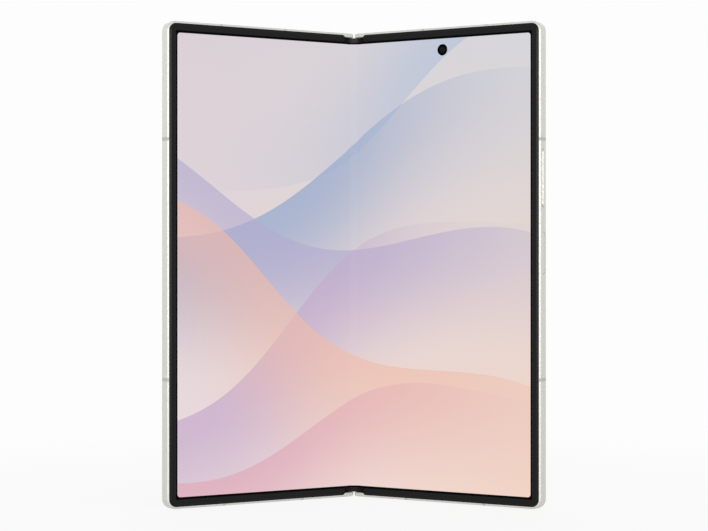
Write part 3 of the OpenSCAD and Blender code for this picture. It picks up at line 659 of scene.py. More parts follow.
@dataclass(frozen=True)
class CoatedLens(Surface):
    """Lens glass with a thin anti-reflection coating: near black, with a violet and teal sheen from
    its film, and a violet sheen painted into its colour towards the rim.
    """

    name: str = "coated_lens_glass"
    middle: str = "#04060c"
    # Painted sheen: the colour that the glass is painted where it is seen edge-on, in place of the
    # coating's reflection there
    rim: str = "#141026"
    haze_mm: float = 0.55
    specular: float = 0.7
    coat: float = 1.0
    film_nm: float = 320.0
    roughness: Point = (0.03, 0.07)

    def shader(self, tree: Tree) -> bpy.types.Node:
        """Builds the glass with its painted rim sheen, its haze and its coating.

        Args:
            tree: The material's empty tree.

        Returns:
            The shader.
        """
        # Painted sheen: the glass's colour turns from its own near black to the rim colour as it is
        # seen more edge-on
        facing = add_node(tree, "ShaderNodeLayerWeight", {"Blend": 0.35}).outputs["Facing"]
        sheen = add_node(tree, "ShaderNodeMix", {
            FACTOR: facing, COLOUR_A: linear(self.middle), COLOUR_B: linear(self.rim),
        }, data_type="RGBA")
        haze = add_node(tree, "ShaderNodeTexNoise", {
            "Vector": add_node(tree, "ShaderNodeTexCoord").outputs["Object"],
            "Scale": 1 / (self.haze_mm * MM), "Detail": 1.0,
        })
        rough = add_node(tree, "ShaderNodeMapRange", {
            "Value": haze, "To Min": self.roughness[0], "To Max": self.roughness[1],
        })
        return add_node(tree, "ShaderNodeBsdfPrincipled", {
            "Base Color": sheen, "Roughness": rough, "Specular IOR Level": self.specular,
            "Coat Weight": self.coat, "Coat Roughness": 0.02,
            "Thin Film Thickness": self.film_nm, "Thin Film IOR": 1.6,
        })


@dataclass(frozen=True)
class PaperFloor(Surface):
    """A white paper sweep, seen and mirrored near white, a little greyer close to the phone."""

    name: str = "white_paper_floor"
    lit: str = "#e4e4e4"
    near_share: float = 0.9
    near: Point = (0.06, 0.35)

    def shader(self, tree: Tree) -> bpy.types.Node:
        """Builds matt paper that keeps the shadow, under the white that the camera sees.

        Args:
            tree: The material's empty tree.

        Returns:
            The shader.
        """
        rays = add_node(tree, "ShaderNodeLightPath").outputs
        matt = add_node(tree, "ShaderNodeBsdfPrincipled", {
            "Base Color": linear(self.lit), "Roughness": 0.9,
        })
        white = add_node(tree, "ShaderNodeEmission", {"Color": linear(PAPER), "Strength": 1.0})
        reach = add_node(tree, "ShaderNodeVectorMath", {
            0: add_node(tree, "ShaderNodeTexCoord").outputs["Object"],
        }, operation="LENGTH")
        share = add_node(tree, "ShaderNodeMapRange", {
            "Value": reach, "From Min": self.near[0], "From Max": self.near[1],
            "To Min": self.near_share, "To Max": 1.0,
        }, interpolation_type="SMOOTHSTEP")
        seen = add_node(tree, "ShaderNodeMath", {
            0: rays["Is Camera Ray"], 1: rays["Is Glossy Ray"],
        }, operation="MAXIMUM")
        seen = add_node(tree, "ShaderNodeMath", {0: seen, 1: share}, operation="MULTIPLY")
        return add_node(tree, "ShaderNodeMixShader", {0: seen, 1: matt, 2: white})


@dataclass(frozen=True)
class Body:
    """Sizes of the phone's body in millimetres, as the CAD has them."""

    half_w: float = 71.6
    height: float = 158.4
    depth: float = 4.2
    corner: float = 3.3
    axis_x: float = 1.3
    axis_y: float = 1.05
    screen_drop: float = 0.1


BODY = Body()


def ease(share: float) -> float:
    """Eases from 0 to 1 with a level start and end.

    Args:
        share: The share of the way.

    Returns:
        The eased share.
    """
    t = min(max(share, 0.0), 1.0)
    return t * t * (3 - 2 * t)


def arc(middle: Point, radius: float, start: float, end: float, steps: int) -> list[Point]:
    """Lists points along an arc, both ends included.

    Args:
        middle: The arc's centre.
        radius: Its radius.
        start: The first angle, in degrees.
        end: The last angle, in degrees.
        steps: How many straight steps stand for it.

    Returns:
        The points.
    """
    angles = [math.radians(start + (end - start) * i / steps) for i in range(steps + 1)]
    return [(middle[0] + radius * math.cos(a), middle[1] + radius * math.sin(a)) for a in angles]


def dome(radius: float, low: float, rise: float, steps: int) -> list[Point]:
    """Lists the profile of a shallow dome, from its top to its rim.

    Args:
        radius: The rim's radius.
        low: The rim's depth.
        rise: How far the top lies beyond it.
        steps: How many straight steps stand for it.

    Returns:
        The points, as (radius, depth).
    """
    angles = [math.pi / 2 * i / steps for i in range(steps + 1)]
    return [(radius * math.sin(a), low + rise * math.cos(a)) for a in angles]


@dataclass(frozen=True)
class HalfPlace:
    """Where one half lies: its side, its hinge axis in the row frame and its fold."""

    side: Side
    row_y: float
    fold: float

    @classmethod
    def read(cls, side: Side, joints: Sequence[dict]) -> "HalfPlace":
        """Reads a half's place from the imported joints.

        Args:
            side: The half.
            joints: The record's joints.

        Returns:
            The place. A half folds from flat, at one end of its joint's range, to its rest.
        """
        joint = next(j for j in joints if j["name"] == f"{side.word}_fold")
        flat = joint["range_deg"][0 if side is Side.LEFT else 1]
        return cls(side, joint["pos_m"][1] / MM, math.radians(abs(flat)))

    def to_row(self, point: Sequence[float], share: float = 1.0) -> Vector:
        """Moves a flat point, in millimetres, to the row frame, in metres.

        Args:
            point: The flat point.
            share: The share of the fold that it turns through.

        Returns:
            The same point in the row frame.
        """
        turn = self.fold * share
        u, v = point[0] - BODY.axis_x, point[1] - BODY.axis_y
        x = BODY.axis_x + u * math.cos(turn) + v * math.sin(turn)
        y = self.row_y - u * math.sin(turn) + v * math.cos(turn)
        return Vector((self.side.value * x, y, point[2])) * MM

    def to_flat(self, row: Vector) -> Vector:
        """Moves a row point, in metres, back to the flat half, in millimetres.

        Args:
            row: The point in the row frame.

        Returns:
            The flat point.
        """
        x = self.side.value * row.x / MM - BODY.axis_x
        y = row.y / MM - self.row_y
        u = x * math.cos(self.fold) - y * math.sin(self.fold)
        v = x * math.sin(self.fold) + y * math.cos(self.fold)
        return Vector((BODY.axis_x + u, BODY.axis_y + v, row.z / MM))


def link_object(name: str, data: bpy.types.ID) -> bpy.types.Object:
    """Makes an object for some data and puts it in the scene.

    Args:
        name: The object's name.
        data: Its mesh, lamp or camera.

    Returns:
        The object.
    """
    piece = bpy.data.objects.new(name, data)
    bpy.context.scene.collection.objects.link(piece)
    return piece


def apply_modifiers(piece: bpy.types.Object) -> None:
    """Turns a piece's modifiers into plain mesh.

    Args:
        piece: The piece.
    """
    bpy.context.view_layer.update()
    solid = piece.evaluated_get(bpy.context.evaluated_depsgraph_get())
    mesh = bpy.data.meshes.new_from_object(solid)
    piece.modifiers.clear()
    piece.data = mesh


def finish_piece(
    name: str, bm: bmesh.types.BMesh, surface: Surface, sharp_deg: float = 30.0
) -> bpy.types.Object:
    """Turns a shell in place into a piece, shaded smooth with its true edges sharp.

    Args:
        name: The piece's name.
        bm: The shell, in the row frame in metres.
        surface: Its finish.
        sharp_deg: The angle between faces from which an edge stays sharp.

    Returns:
        The piece.
    """
    mesh = bpy.data.meshes.new(name)
    bm.to_mesh(mesh)
    bm.free()
    mesh.materials.append(surface.build())
    mesh.shade_smooth()
    mesh.set_sharp_from_angle(angle=math.radians(sharp_deg))
    piece = link_object(name, mesh)
    piece.modifiers.new("Normals", "WEIGHTED_NORMAL").keep_sharp = True
    apply_modifiers(piece)
    return piece


def make_piece(
    name: str,
    bm: bmesh.types.BMesh,
    surface: Surface,
    place: HalfPlace | None = None,
    sharp_deg: float = 30.0,
) -> bpy.types.Object:
    """Turns a new closed shell into a piece, with its faces outwards.

    Args:
        name: The piece's name.
        bm: The shell, flat and in millimetres with a place, or else in the row frame in metres.
        surface: Its finish.
        place: The half that it lies on.
        sharp_deg: The angle from which an edge stays sharp.

    Returns:
        The piece.
    """
    if place:
        for vert in bm.verts:
            vert.co = place.to_row(vert.co)
    bmesh.ops.recalc_face_normals(bm, faces=bm.faces)
    return finish_piece(name, bm, surface, sharp_deg)


def lay_flat_map(piece: bpy.types.Object, place: HalfPlace) -> None:
    """Gives a piece a UV map that holds its place on the flat half, in metres.

    Args:
        piece: The piece.
        place: The half that it lies on.
    """
    layer = piece.data.uv_layers.new(name="Flat")
    for loop in piece.data.loops:
        flat = place.to_flat(piece.data.vertices[loop.vertex_index].co)
        layer.data[loop.index].uv = (flat.x * MM, flat.z * MM)


def lathe(profile: Sequence[Point], x: float, z: float, segments: int = 72) -> bmesh.types.BMesh:
    """Turns a profile about an axis that runs through the half's depth.

    Args:
        profile: Points as (radius, depth) in order; a radius of 0 is on the axis.
        x: The axis's distance from the hinge line.
        z: The axis's height.
        segments: How many sides the round has.

    Returns:
        The closed shell, flat and in millimetres.
    """
    bm = bmesh.new()
    angles = [2 * math.pi * i / segments for i in range(segments)]
    rings = [
        [bm.verts.new((x + r * math.cos(a), depth, z + r * math.sin(a))) for a in angles]
        if r else [bm.verts.new((x, depth, z))] * segments
        for r, depth in profile
    ]
    if profile[0][0]:
        rings.append(rings[0])
    for one, two in zip(rings, rings[1:]):
        for i in range(segments):
            corners = list(dict.fromkeys((one[i - 1], one[i], two[i], two[i - 1])))
            if len(corners) > 2:
                bm.faces.new(corners)
    return bm


def slab(
    outline: Sequence[Point], depths: Point, holes: Iterable[Sequence[Point]] = ()
) -> bmesh.types.BMesh:
    """Makes a plate from an outline in x and z, between two depths.

    Args:
        outline: The outer outline.
        depths: The depths of its two faces.
        holes: The outlines of its holes.

    Returns:
        The closed shell, flat and in millimetres.
    """
    bm = bmesh.new()
    edges = []
    for loop in (outline, *holes):
        verts = [bm.verts.new((x, depths[0], z)) for x, z in loop]
        edges += [bm.edges.new((verts[i - 1], verts[i])) for i in range(len(verts))]
    bmesh.ops.triangle_fill(bm, edges=edges, use_beauty=True)
    bmesh.ops.dissolve_limit(
        bm, angle_limit=math.radians(1), verts=bm.verts, edges=bm.edges, delimit={"NORMAL"}
    )
    grown = bmesh.ops.extrude_face_region(bm, geom=list(bm.faces), use_keep_orig=True)["geom"]
    for vert in (g for g in grown if isinstance(g, bmesh.types.BMVert)):
        vert.co.y = depths[1]
    return bm


def block(x: Point, y: Point, z: Point, round_mm: float = 0.0) -> bmesh.types.BMesh:
    """Makes a block between three pairs of sides.

    Args:
        x: Its ends, from the hinge line.
        y: Its depths.
        z: Its heights.
        round_mm: The radius of its edges.

    Returns:
        The closed shell, flat and in millimetres.
    """
    bm = slab([(x[0], z[0]), (x[1], z[0]), (x[1], z[1]), (x[0], z[1])], y)
    if round_mm:
        bmesh.ops.bevel(
            bm, geom=list(bm.edges), offset=round_mm, segments=3, profile=0.5, affect="EDGES"
        )
    return bm


def cut_away(bm: bmesh.types.BMesh, point: Sequence[float], normal: Sequence[float]) -> None:
    """Cuts off the side of a plane that its normal points to, and closes the cut.

    Args:
        bm: The closed shell.
        point: A point on the plane.
        normal: The plane's normal.
    """
    bmesh.ops.bisect_plane(
        bm, geom=[*bm.verts, *bm.edges, *bm.faces], plane_co=point, plane_no=normal,
        clear_outer=True,
    )
    bmesh.ops.holes_fill(bm, edges=[e for e in bm.edges if e.is_boundary])


def geometry_tree(name: str, inputs: dict[str, str]) -> tuple[Tree, Sequence]:
    """Starts a Geometry Nodes tree.

    Args:
        name: The tree's name.
        inputs: Its named inputs and their socket types, after the geometry.

    Returns:
        The tree and the sockets that its inputs come in by.
    """
    tree = bpy.data.node_groups.new(name, "GeometryNodeTree")
    for label, way, kind in (
        ("Geometry", "INPUT", "NodeSocketGeometry"),
        *((label, "INPUT", kind) for label, kind in inputs.items()),
        ("Geometry", "OUTPUT", "NodeSocketGeometry"),
    ):
        tree.interface.new_socket(label, in_out=way, socket_type=kind)
    return tree, add_node(tree, "NodeGroupInput").outputs


def close_tree(tree: Tree, geometry: Feed, material: Feed) -> None:
    """Ends a tree: its instances become real and take the material.

    Args:
        tree: The tree.
        geometry: What it has made.
        material: Its material.
    """
    real = add_node(tree, "GeometryNodeRealizeInstances", {"Geometry": geometry})
    dressed = add_node(tree, "GeometryNodeSetMaterial", {"Geometry": real, "Material": material})
    add_node(tree, "NodeGroupOutput", {"Geometry": dressed})


def run_tree(piece: bpy.types.Object, tree: Tree, values: dict[str, object]) -> None:
    """Runs a tree on a piece and keeps the result as plain mesh.

    Args:
        piece: The piece that the tree starts from.
        tree: The tree.
        values: The values of its named inputs.
    """
    modifier = piece.modifiers.new(tree.name, "NODES")
    modifier.node_group = tree
    for item in tree.interface.items_tree:
        if item.in_out == "INPUT" and item.name in values:
            modifier[item.identifier] = values[item.name]
    apply_modifiers(piece)


@dataclass
class Repeater:
    """A tree that repeats a piece along a straight line."""

    tree: Tree = field(init=False)

    def __post_init__(self) -> None:
        """Builds the tree."""
        self.tree, given = geometry_tree("Repeat along a line", {
            "Count": "NodeSocketInt", "Step": "NodeSocketVector",
            "Material": "NodeSocketMaterial",
        })
        line = add_node(self.tree, "GeometryNodeMeshLine", {
            "Count": given["Count"], "Offset": given["Step"],
        })
        copies = add_node(self.tree, "GeometryNodeInstanceOnPoints", {
            "Points": line, "Instance": given["Geometry"],
        })
        close_tree(self.tree, copies, given["Material"])

    def run(self, piece: bpy.types.Object, count: int, step: Vector) -> None:
        """Repeats a piece.

        Args:
            piece: The piece, in place in the row frame.
            count: How many there are in all.
            step: The way from one to the next, in metres.
        """
        material = piece.data.materials[0]
        run_tree(piece, self.tree, {"Count": count, "Step": step, "Material": material})


@dataclass
class Bench:
    """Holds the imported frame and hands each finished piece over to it."""

    frame: dict
    places: dict[Side, HalfPlace] = field(init=False)
    slots: dict[str, str] = field(init=False)

    def __post_init__(self) -> None:
        """Reads the halves' places and the nodes' slots."""
        self.places = {side: HalfPlace.read(side, self.frame["joints"]) for side in Side}
        self.slots = {
            part["node"]: part["material_slot"] for part in self.frame["record"]["subparts"]
        }

    def hand_over(
        self, piece: bpy.types.Object, body: str, *nodes: str, slot: str | None = None
    ) -> None:
        """Ties a piece to its body and hides the nodes that it stands for.

        Args:
            piece: The finished piece.
            body: The body that it moves with.
            nodes: The nodes that it stands for.
            slot: Not used.
        """
        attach(piece, body)
        if nodes:
            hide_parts(*nodes)
        log.info("%s rides on %s, %d faces", piece.name, body, len(piece.data.polygons))

    def hand_over_bending(
        self, piece: bpy.types.Object, side: Side, ends: tuple[Vector, Vector], *nodes: str
    ) -> None:
        """Ties a piece that bends from the spine to a half.

        Args:
            piece: The finished piece.
            side: Not used.
            ends: Not used.
            nodes: The nodes that it stands for.
        """
        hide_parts(*nodes)
        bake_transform(piece)
        log.info("%s bends over the hinge, %d faces", piece.name, len(piece.data.polygons))

    def copy(self, node: str) -> bmesh.types.BMesh:
        """Copies a node's mesh, merged and with its flat faces joined.

        Args:
            node: The CAD node.

        Returns:
            The copy, in place.
        """
        bm = bmesh.new()
        bm.from_mesh(self.frame["nodes"][node].data)
        bmesh.ops.remove_doubles(bm, verts=bm.verts, dist=WELD)
        bmesh.ops.dissolve_limit(
            bm, angle_limit=math.radians(FLAT_DEG), verts=bm.verts, edges=bm.edges
        )
        return bm

    def refine(
        self,
        node: str,
        surface: Surface,
        ease_mm: float = 0.0,
        where: Callable[[Vector], bool] = lambda point: True,
        side: Side = Side.RIGHT,
    ) -> bpy.types.Object:
        """Makes a cleaned copy of a node, with chosen edges eased.

        Args:
            node: The CAD node.
            surface: Its finish.
            ease_mm: The width of the rounding along the chosen edges.
            where: Says of a point, flat on the half, whether edges between such points are eased.
            side: The half that the test's points are laid flat on.

        Returns:
            The copy, in place.
        """
        bm = self.copy(node)
        if ease_mm:
            place = self.places[side]
            kept = {vert for vert in bm.verts if where(place.to_flat(vert.co))}
            edges = [
                e for e in bm.edges
                if kept.issuperset(e.verts) and e.is_manifold
                and e.calc_face_angle() > math.radians(EASED_DEG)
            ]
            bmesh.ops.bevel(
                bm, geom=edges, offset=ease_mm * MM, segments=4, profile=0.5, affect="EDGES",
                clamp_overlap=False,
            )
        return finish_piece(f"{node}_finished", bm, surface, SHARP_DEG)


@dataclass(frozen=True)
class InnerScreen:
    """The folding screen: a stiff panel on each half and the stretch that bends over the hinge."""

    inset: float = 1.45
    panel_t: float = 0.55
    bend_t: float = 0.3
    bend_end: float = 3.7
    bend_z: Point = (3.3, 155.1)
    columns: int = 28
    rows: int = 24
    punch: Point = (35.0, 150.9)
    punch_r: float = 1.95

    def make(self, bench: Bench) -> None:
        """Makes both halves of the screen.

        Args:
            bench: Where the pieces are handed over.
        """
        for side, crease in ((Side.LEFT, ["display_crease"]), (Side.RIGHT, [])):
            place, middle = bench.places[side], BODY.height / 2
            ends = (
                place.to_row((0, BODY.screen_drop, middle), 0.0),
                place.to_row((self.bend_end, BODY.screen_drop, middle)),
            )
            piece = self._half(place)
            bench.hand_over_bending(piece, side, ends, f"{side.word}_display_panel", *crease)

    def _half(self, place: HalfPlace) -> bpy.types.Object:
        """Makes one half's panel and bend, as one mesh with its flat place as UV.

        Args:
            place: The half.

        Returns:
            The piece.
        """
        radius = BODY.corner - self.inset
        x1 = BODY.half_w - self.inset - radius
        z0, z1 = self.inset + radius, BODY.height - self.inset - radius
        outline = [
            (self.bend_end, self.inset),
            *arc((x1, z0), radius, -90, 0, 12),
            *arc((x1, z1), radius, 0, 90, 12),
            (self.bend_end, BODY.height - self.inset),
        ]
        holes = [arc(self.punch, self.punch_r, 0, 352.5, 47)] if place.side is Side.RIGHT else []
        bm = slab(outline, (BODY.screen_drop, BODY.screen_drop + self.panel_t), holes)
        self._bend(bm)
        uv = bm.loops.layers.uv.new("Screen")
        for loop in (loop for face in bm.faces for loop in face.loops):
            flat = loop.vert.co
            loop[uv].uv = (place.side.value * flat.x * MM, flat.z * MM)
        for vert in bm.verts:
            vert.co = place.to_row(vert.co, ease(vert.co.x / self.bend_end))
        return make_piece(f"{place.side.word}_screen", bm, LitScreen(), None, 40.0)

    def _bend(self, bm: bmesh.types.BMesh) -> None:
        """Adds the stretch that bends, in narrow columns, as a closed shell.

        Args:
            bm: The flat half that it is added to.
        """
        low, high = self.bend_z
        xs = [self.bend_end * i / self.columns for i in range(self.columns + 1)]
        zs = [low + (high - low) * j / self.rows for j in range(self.rows + 1)]
        front, back = (
            [[bm.verts.new((x, depth, z)) for z in zs] for x in xs]
            for depth in (BODY.screen_drop, BODY.screen_drop + self.bend_t)
        )
        pairs = [*zip(front, front[1:]), *zip(back, back[1:])]
        pairs += [([col[j] for col in front], [col[j] for col in back]) for j in (0, -1)]
        pairs += [(front[i], back[i]) for i in (0, -1)]
        for one, two in pairs:
            for k in range(len(one) - 1):
                bm.faces.new((one[k], two[k], two[k + 1], one[k + 1]))


@dataclass(frozen=True)
class FlexCables:
    """The ribbon cables over the hinge, cut at the hinge line into one piece for each half."""

    node: str = "hinge_flex_cables"
    bend_end: float = 4.1
    depth: float = 1.2

    def make(self, bench: Bench) -> None:
        """Makes both halves of the cables.

        Args:
            bench: Where the pieces are handed over.
        """
        low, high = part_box(self.node)
        middle = (low[2] + high[2]) / 2
        for side in Side:
            bm = bench.copy(self.node)
            cut_away(bm, (0, 0, 0), (-side.value, 0, 0))
            piece = make_piece(f"{side.word}_flex_cables", bm, POLYIMIDE, None, SHARP_DEG)
            end = bench.places[side].to_row((self.bend_end, self.depth, middle / MM))
            bench.hand_over_bending(piece, side, (Vector((0, high[1], middle)), end), self.node)


@dataclass(frozen=True)
class BezelTrim:
    """The raised black trim round each half of the screen, swept along the body's outline."""

    inset: float = 0.7
    width: float = 2.4
    rise: float = 0.2
    start_x: float = 4.2
    chamfer: float = 0.55
    shoulder: float = 0.78
    foot: float = 0.02
    ledge: float = 0.1
    sunk: float = 0.005
    corner_steps: int = 12

    def make(self, bench: Bench) -> None:
        """Makes the trim of both halves.

        Args:
            bench: Where the pieces are handed over.
        """
        tree, section = self._tree(), self._section()
        for side in Side:
            piece = self._sweep(tree, section)
            bm = bmesh.new()
            bm.from_mesh(piece.data)
            bpy.data.objects.remove(piece)
            for vert in bm.verts:
                vert.co = Vector((vert.co.x, -vert.co.z, vert.co.y))
            self._cut_ends(bm)
            trim = make_piece(f"{side.word}_trim", bm, BEZEL_TPU, bench.places[side], 11.0)
            bench.hand_over(trim, side.body, f"{side.word}_bezel")
        bpy.data.objects.remove(section)

    def _section(self) -> bpy.types.Object:
        """Draws the trim's section: inward distance and depth from the front edge.

        Its outer shoulder is one plain slope up to the flat face, which catches the light from
        in front where the face doesn't.

        Returns:
            The section.
        """
        inner, rise, low = self.inset + self.width, -self.rise, BODY.screen_drop - self.sunk
        points = [
            (self.inset, self.foot), (self.inset, -self.foot),
            (self.inset + self.ledge, -self.foot), (self.inset + self.shoulder, rise),
            (inner - 0.12, rise), (inner - 0.03, rise * 0.7), (inner, rise * 0.3),
            (inner, low), (self.inset + self.shoulder, low),
        ]
        count = len(points)
        mesh = bpy.data.meshes.new("trim_section")
        mesh.from_pydata(
            [(x, y, 0) for x, y in points], [(i, (i + 1) % count) for i in range(count)], []
        )
        return link_object("trim_section", mesh)

    def _tree(self) -> Tree:
        """Builds the tree that rounds a path's corners and sweeps a section along it.

        Returns:
            The tree.
        """
        tree, given = geometry_tree("Sweep a section", {
            "Section": "NodeSocketObject", "Corner radius": "NodeSocketFloat",
            "Corner steps": "NodeSocketInt", "Material": "NodeSocketMaterial",
        })
        path = add_node(tree, "GeometryNodeMeshToCurve", {"Mesh": given["Geometry"]})
        rounded = add_node(tree, "GeometryNodeFilletCurve", {
            "Curve": path, "Count": given["Corner steps"], "Radius": given["Corner radius"],
        }, mode="POLY")
        upright = add_node(tree, "GeometryNodeSetCurveNormal", {"Curve": rounded}, mode="Z_UP")
        shape = add_node(tree, "GeometryNodeObjectInfo", {"Object": given["Section"]})
        ring = add_node(tree, "GeometryNodeMeshToCurve", {"Mesh": shape.outputs["Geometry"]})
        swept = add_node(tree, "GeometryNodeCurveToMesh", {
            "Curve": upright, "Profile Curve": ring, "Fill Caps": True,
        })
        close_tree(tree, swept, given["Material"])
        return tree

    def _sweep(self, tree: Tree, section: bpy.types.Object) -> bpy.types.Object:
        """Sweeps the section from the top end, down the side, to the bottom end.

        Args:
            tree: The sweeping tree.
            section: The section.

        Returns:
            The flat trim, still to be stood up.
        """
        path = [
            (self.start_x, BODY.height, 0), (BODY.half_w, BODY.height, 0), (BODY.half_w, 0, 0),
            (self.start_x, 0, 0),
        ]
        mesh = bpy.data.meshes.new("trim_path")
        mesh.from_pydata(path, [(0, 1), (1, 2), (2, 3)], [])
        piece = link_object("trim_path", mesh)
        run_tree(piece, tree, {
            "Section": section, "Corner radius": BODY.corner, "Corner steps": self.corner_steps,
            "Material": BEZEL_TPU.build(),
        })
        return piece

    def _cut_ends(self, bm: bmesh.types.BMesh) -> None:
        """Cuts the outer corner off both ends.

        Args:
            bm: The flat trim.
        """
        bmesh.ops.remove_doubles(bm, verts=bm.verts, dist=1e-4)
        for up, edge in ((-1, self.inset), (1, BODY.height - self.inset)):
            cut_away(bm, (self.start_x + self.chamfer, 0, edge), (-1, 0, up))


@dataclass(frozen=True)
class Housing:
    """The metal frames, their plastic breaks and the glass on their backs."""

    glass_ease: float = 0.22
    rim: float = 0.02

    def make(self, bench: Bench) -> None:
        """Makes the housing of both halves.

        Args:
            bench: Where the pieces are handed over.
        """
        for side in Side:
            for part, surface in (("frame", FRAME_ALUMINIUM), ("antenna_breaks", ANTENNA_NYLON)):
                node = f"{side.word}_{part}"
                bench.hand_over(bench.refine(node, surface), side.body, node)
        for node, side, surface in (
            ("cover_glass", Side.LEFT, DarkScreen()), ("rear_glass", Side.RIGHT, REAR_GLASS)
        ):
            glass = bench.refine(
                node, surface, self.glass_ease, lambda p: p.y > BODY.depth - self.rim, side
            )
            lay_flat_map(glass, bench.places[side])
            bench.hand_over(glass, side.body, node)


@dataclass(frozen=True)
class Spine:
    """The hinge's cover and its black end caps."""

    cap_ease: float = 0.15

    def make(self, bench: Bench) -> None:
        """Makes the spine's outer pieces.

        Args:
            bench: Where the pieces are handed over.
        """
        for node, surface, ease_mm in (
            ("hinge_spine_cover", SPINE_ALUMINIUM, 0.0),
            ("hinge_end_caps", CAP_POLYCARBONATE, self.cap_ease),
        ):
            bench.hand_over(bench.refine(node, surface, ease_mm), SPINE_BODY, node)


@dataclass(frozen=True)
class Keys:
    """Volume and power keys on the right side, and the card tray's head."""

    volume_ease: float = 0.22
    power_ease: float = 0.1
    reach: float = 0.3

    def make(self, bench: Bench) -> None:
        """Makes the keys.

        Args:
            bench: Where the pieces are handed over.
        """
        for node, surface, ease_mm in (
            ("volume_key", KEY_ALUMINIUM, self.volume_ease),
            ("power_key", KEY_ALUMINIUM, self.power_ease),
            ("sim_tray", FRAME_ALUMINIUM, 0.0),
        ):
            piece = bench.refine(
                node, surface, ease_mm, lambda p: p.x > BODY.half_w - self.reach
            )
            bench.hand_over(piece, node, node)


@dataclass(frozen=True)
class RearCameras:
    """The camera island with its three ringed lenses, and the flash beside it."""

    x: float = 58.2
    z: float = 106.9
    pitch: float = 17.5
    count: int = 3
    island_back: float = 5.2
    island_ease: float = 0.3
    island_rim: float = 0.02
    ring_r: float = 7.3
    ring_rise: float = 1.1
    rim: float = 1.5
    window_r: float = 3.5
    lens_r: float = 2.5
    flash: Point = (44.5, 124.4)
    flash_r: float = 1.7
    flash_rings: int = 4
    flash_pitch: float = 0.32

    def make(self, bench: Bench) -> None:
        """Makes the island, rings, lenses and flash.

        Args:
            bench: Where the pieces are handed over.
        """
        body, place = Side.RIGHT.body, bench.places[Side.RIGHT]
        island = bench.refine(
            "camera_island", ISLAND_ALUMINIUM, self.island_ease,
            lambda p: p.y > self.island_back - self.island_rim,
        )
        bench.hand_over(island, body, "camera_island")
        repeater = Repeater()
        for name, profile, surface, nodes in (
            ("lens_rings", self._ring(), RING_STEEL, ["camera_rings"]),
            ("lens_covers", self._cover(), LENS_PRINT, ["camera_lens_covers"]),
            ("lens_baffles", self._baffle(), LENS_BAFFLE, []),
            ("lens_glasses", self._lens(), CoatedLens(), []),
        ):
            piece = make_piece(name, lathe(profile, self.x, self.z), surface, place, 32.0)
            repeater.run(piece, self.count, Vector((0, 0, self.pitch * MM)))
            bench.hand_over(piece, body, *nodes, slot=None if nodes else "lens_glass")
        shell = lathe(self._flash(), *self.flash, 48)
        flash = make_piece("flash_diffuser", shell, FLASH_SILICONE, place, 50.0)
        bench.hand_over(flash, body, "camera_flash")

    def _ring(self) -> list[Point]:
        """Draws the steel ring's section, with its outer and inner edges rounded.

        Returns:
            The section.
        """
        low, top = self.island_back, self.island_back + self.ring_rise
        inner = self.ring_r - self.rim
        return [
            (inner - 0.6, low), (self.ring_r, low),
            *arc((self.ring_r - 0.3, top - 0.3), 0.3, 0, 90, 6),
            (inner + 0.35, top), (inner + 0.08, top - 0.06), (inner, top - 0.14),
            (inner, top - 0.35), (inner - 0.6, top - 0.35),
        ]

    def _cover(self) -> list[Point]:
        """Draws the cover's black printed margin, a flat annulus just below the ring's rim.

        Returns:
            Its section.
        """
        low, inner = self.island_back + self.ring_rise - 0.34, self.window_r
        top, outer = low + 0.24, self.ring_r - self.rim - 0.05
        return [
            (inner, low), (outer, low), (outer, top - 0.05), (outer - 0.05, top),
            (inner + 0.08, top), (inner, top - 0.08),
        ]

    def _baffle(self) -> list[Point]:
        """Draws the stepped black cone that leads down to the lens.

        Returns:
            Its section.
        """
        top, wide = self.island_back + self.ring_rise - 0.3, self.window_r
        return [
            (wide, top - 0.18), (wide, top + 0.1), (wide - 0.25, top + 0.1),
            (wide - 0.3, top + 0.02), (wide - 0.6, top + 0.02), (wide - 0.65, top - 0.06),
            (self.lens_r, top - 0.06), (self.lens_r - 0.05, top - 0.18),
        ]

    def _lens(self) -> list[Point]:
        """Draws the front lens, a shallow dome.

        Returns:
            Its section.
        """
        low = self.island_back + self.ring_rise - 0.48
        return [*dome(self.lens_r, low + 0.06, 0.28, 10), (self.lens_r, low), (0, low)]

    def _flash(self) -> list[Point]:
        """Draws the flash's diffuser, with moulded rings.

        Returns:
            Its section.
        """
        top, outer = BODY.depth - 0.03, self.flash_r
        points = [(0, top)]
        for i in range(1, self.flash_rings + 1):
            radius = self.flash_pitch * i
            points += [(radius, top - 0.015 * i), (radius + 0.03, top - 0.06 - 0.01 * i)]
        return [
            *points, (outer - 0.1, top - 0.02), (outer, top - 0.1), (outer, top - 0.8),
            (0, top - 0.8),
        ]


@dataclass(frozen=True)
class FrontCamera:
    """A small camera behind a round black window: its ring, and its lens in the middle."""

    name: str
    nodes: tuple[str, ...]
    side: Side
    x: float
    z: float
    outer_r: float
    lens_r: float
    face: float
    outward: int
    body_depth: float
    window: Finish
    glass: CoatedLens
    well: float = 0.12
    bulge: float = 0.1
    lens_t: float = 0.03

    def make(self, bench: Bench) -> None:
        """Makes the camera's window ring and lens.

        Args:
            bench: Where the pieces are handed over.
        """
        out, face = self.outward, self.face
        back, seat, rim = face - out * self.body_depth, face - out * self.well, self.lens_r * 0.96
        ring = [
            (0, back), (self.outer_r, back), (self.outer_r, face - out * 0.02),
            (self.outer_r - 0.03, face), (self.lens_r + 0.1, face), (self.lens_r, seat), (0, seat),
        ]
        foot = seat - out * self.lens_t
        lens = [*dome(rim, seat, out * self.bulge, 8), (rim, foot), (0, foot)]
        for word, profile, surface, sharp_deg, stands_for, slot in (
            ("window", ring, self.window, 32.0, self.nodes, "camera_black"),
            ("lens", lens, self.glass, 40.0, (), "lens_glass"),
        ):
            shell = lathe(profile, self.x, self.z, 64)
            piece = make_piece(
                f"{self.name}_{word}", shell, surface, bench.places[self.side], sharp_deg
            )
            bench.hand_over(piece, self.side.body, *stands_for, slot=slot)


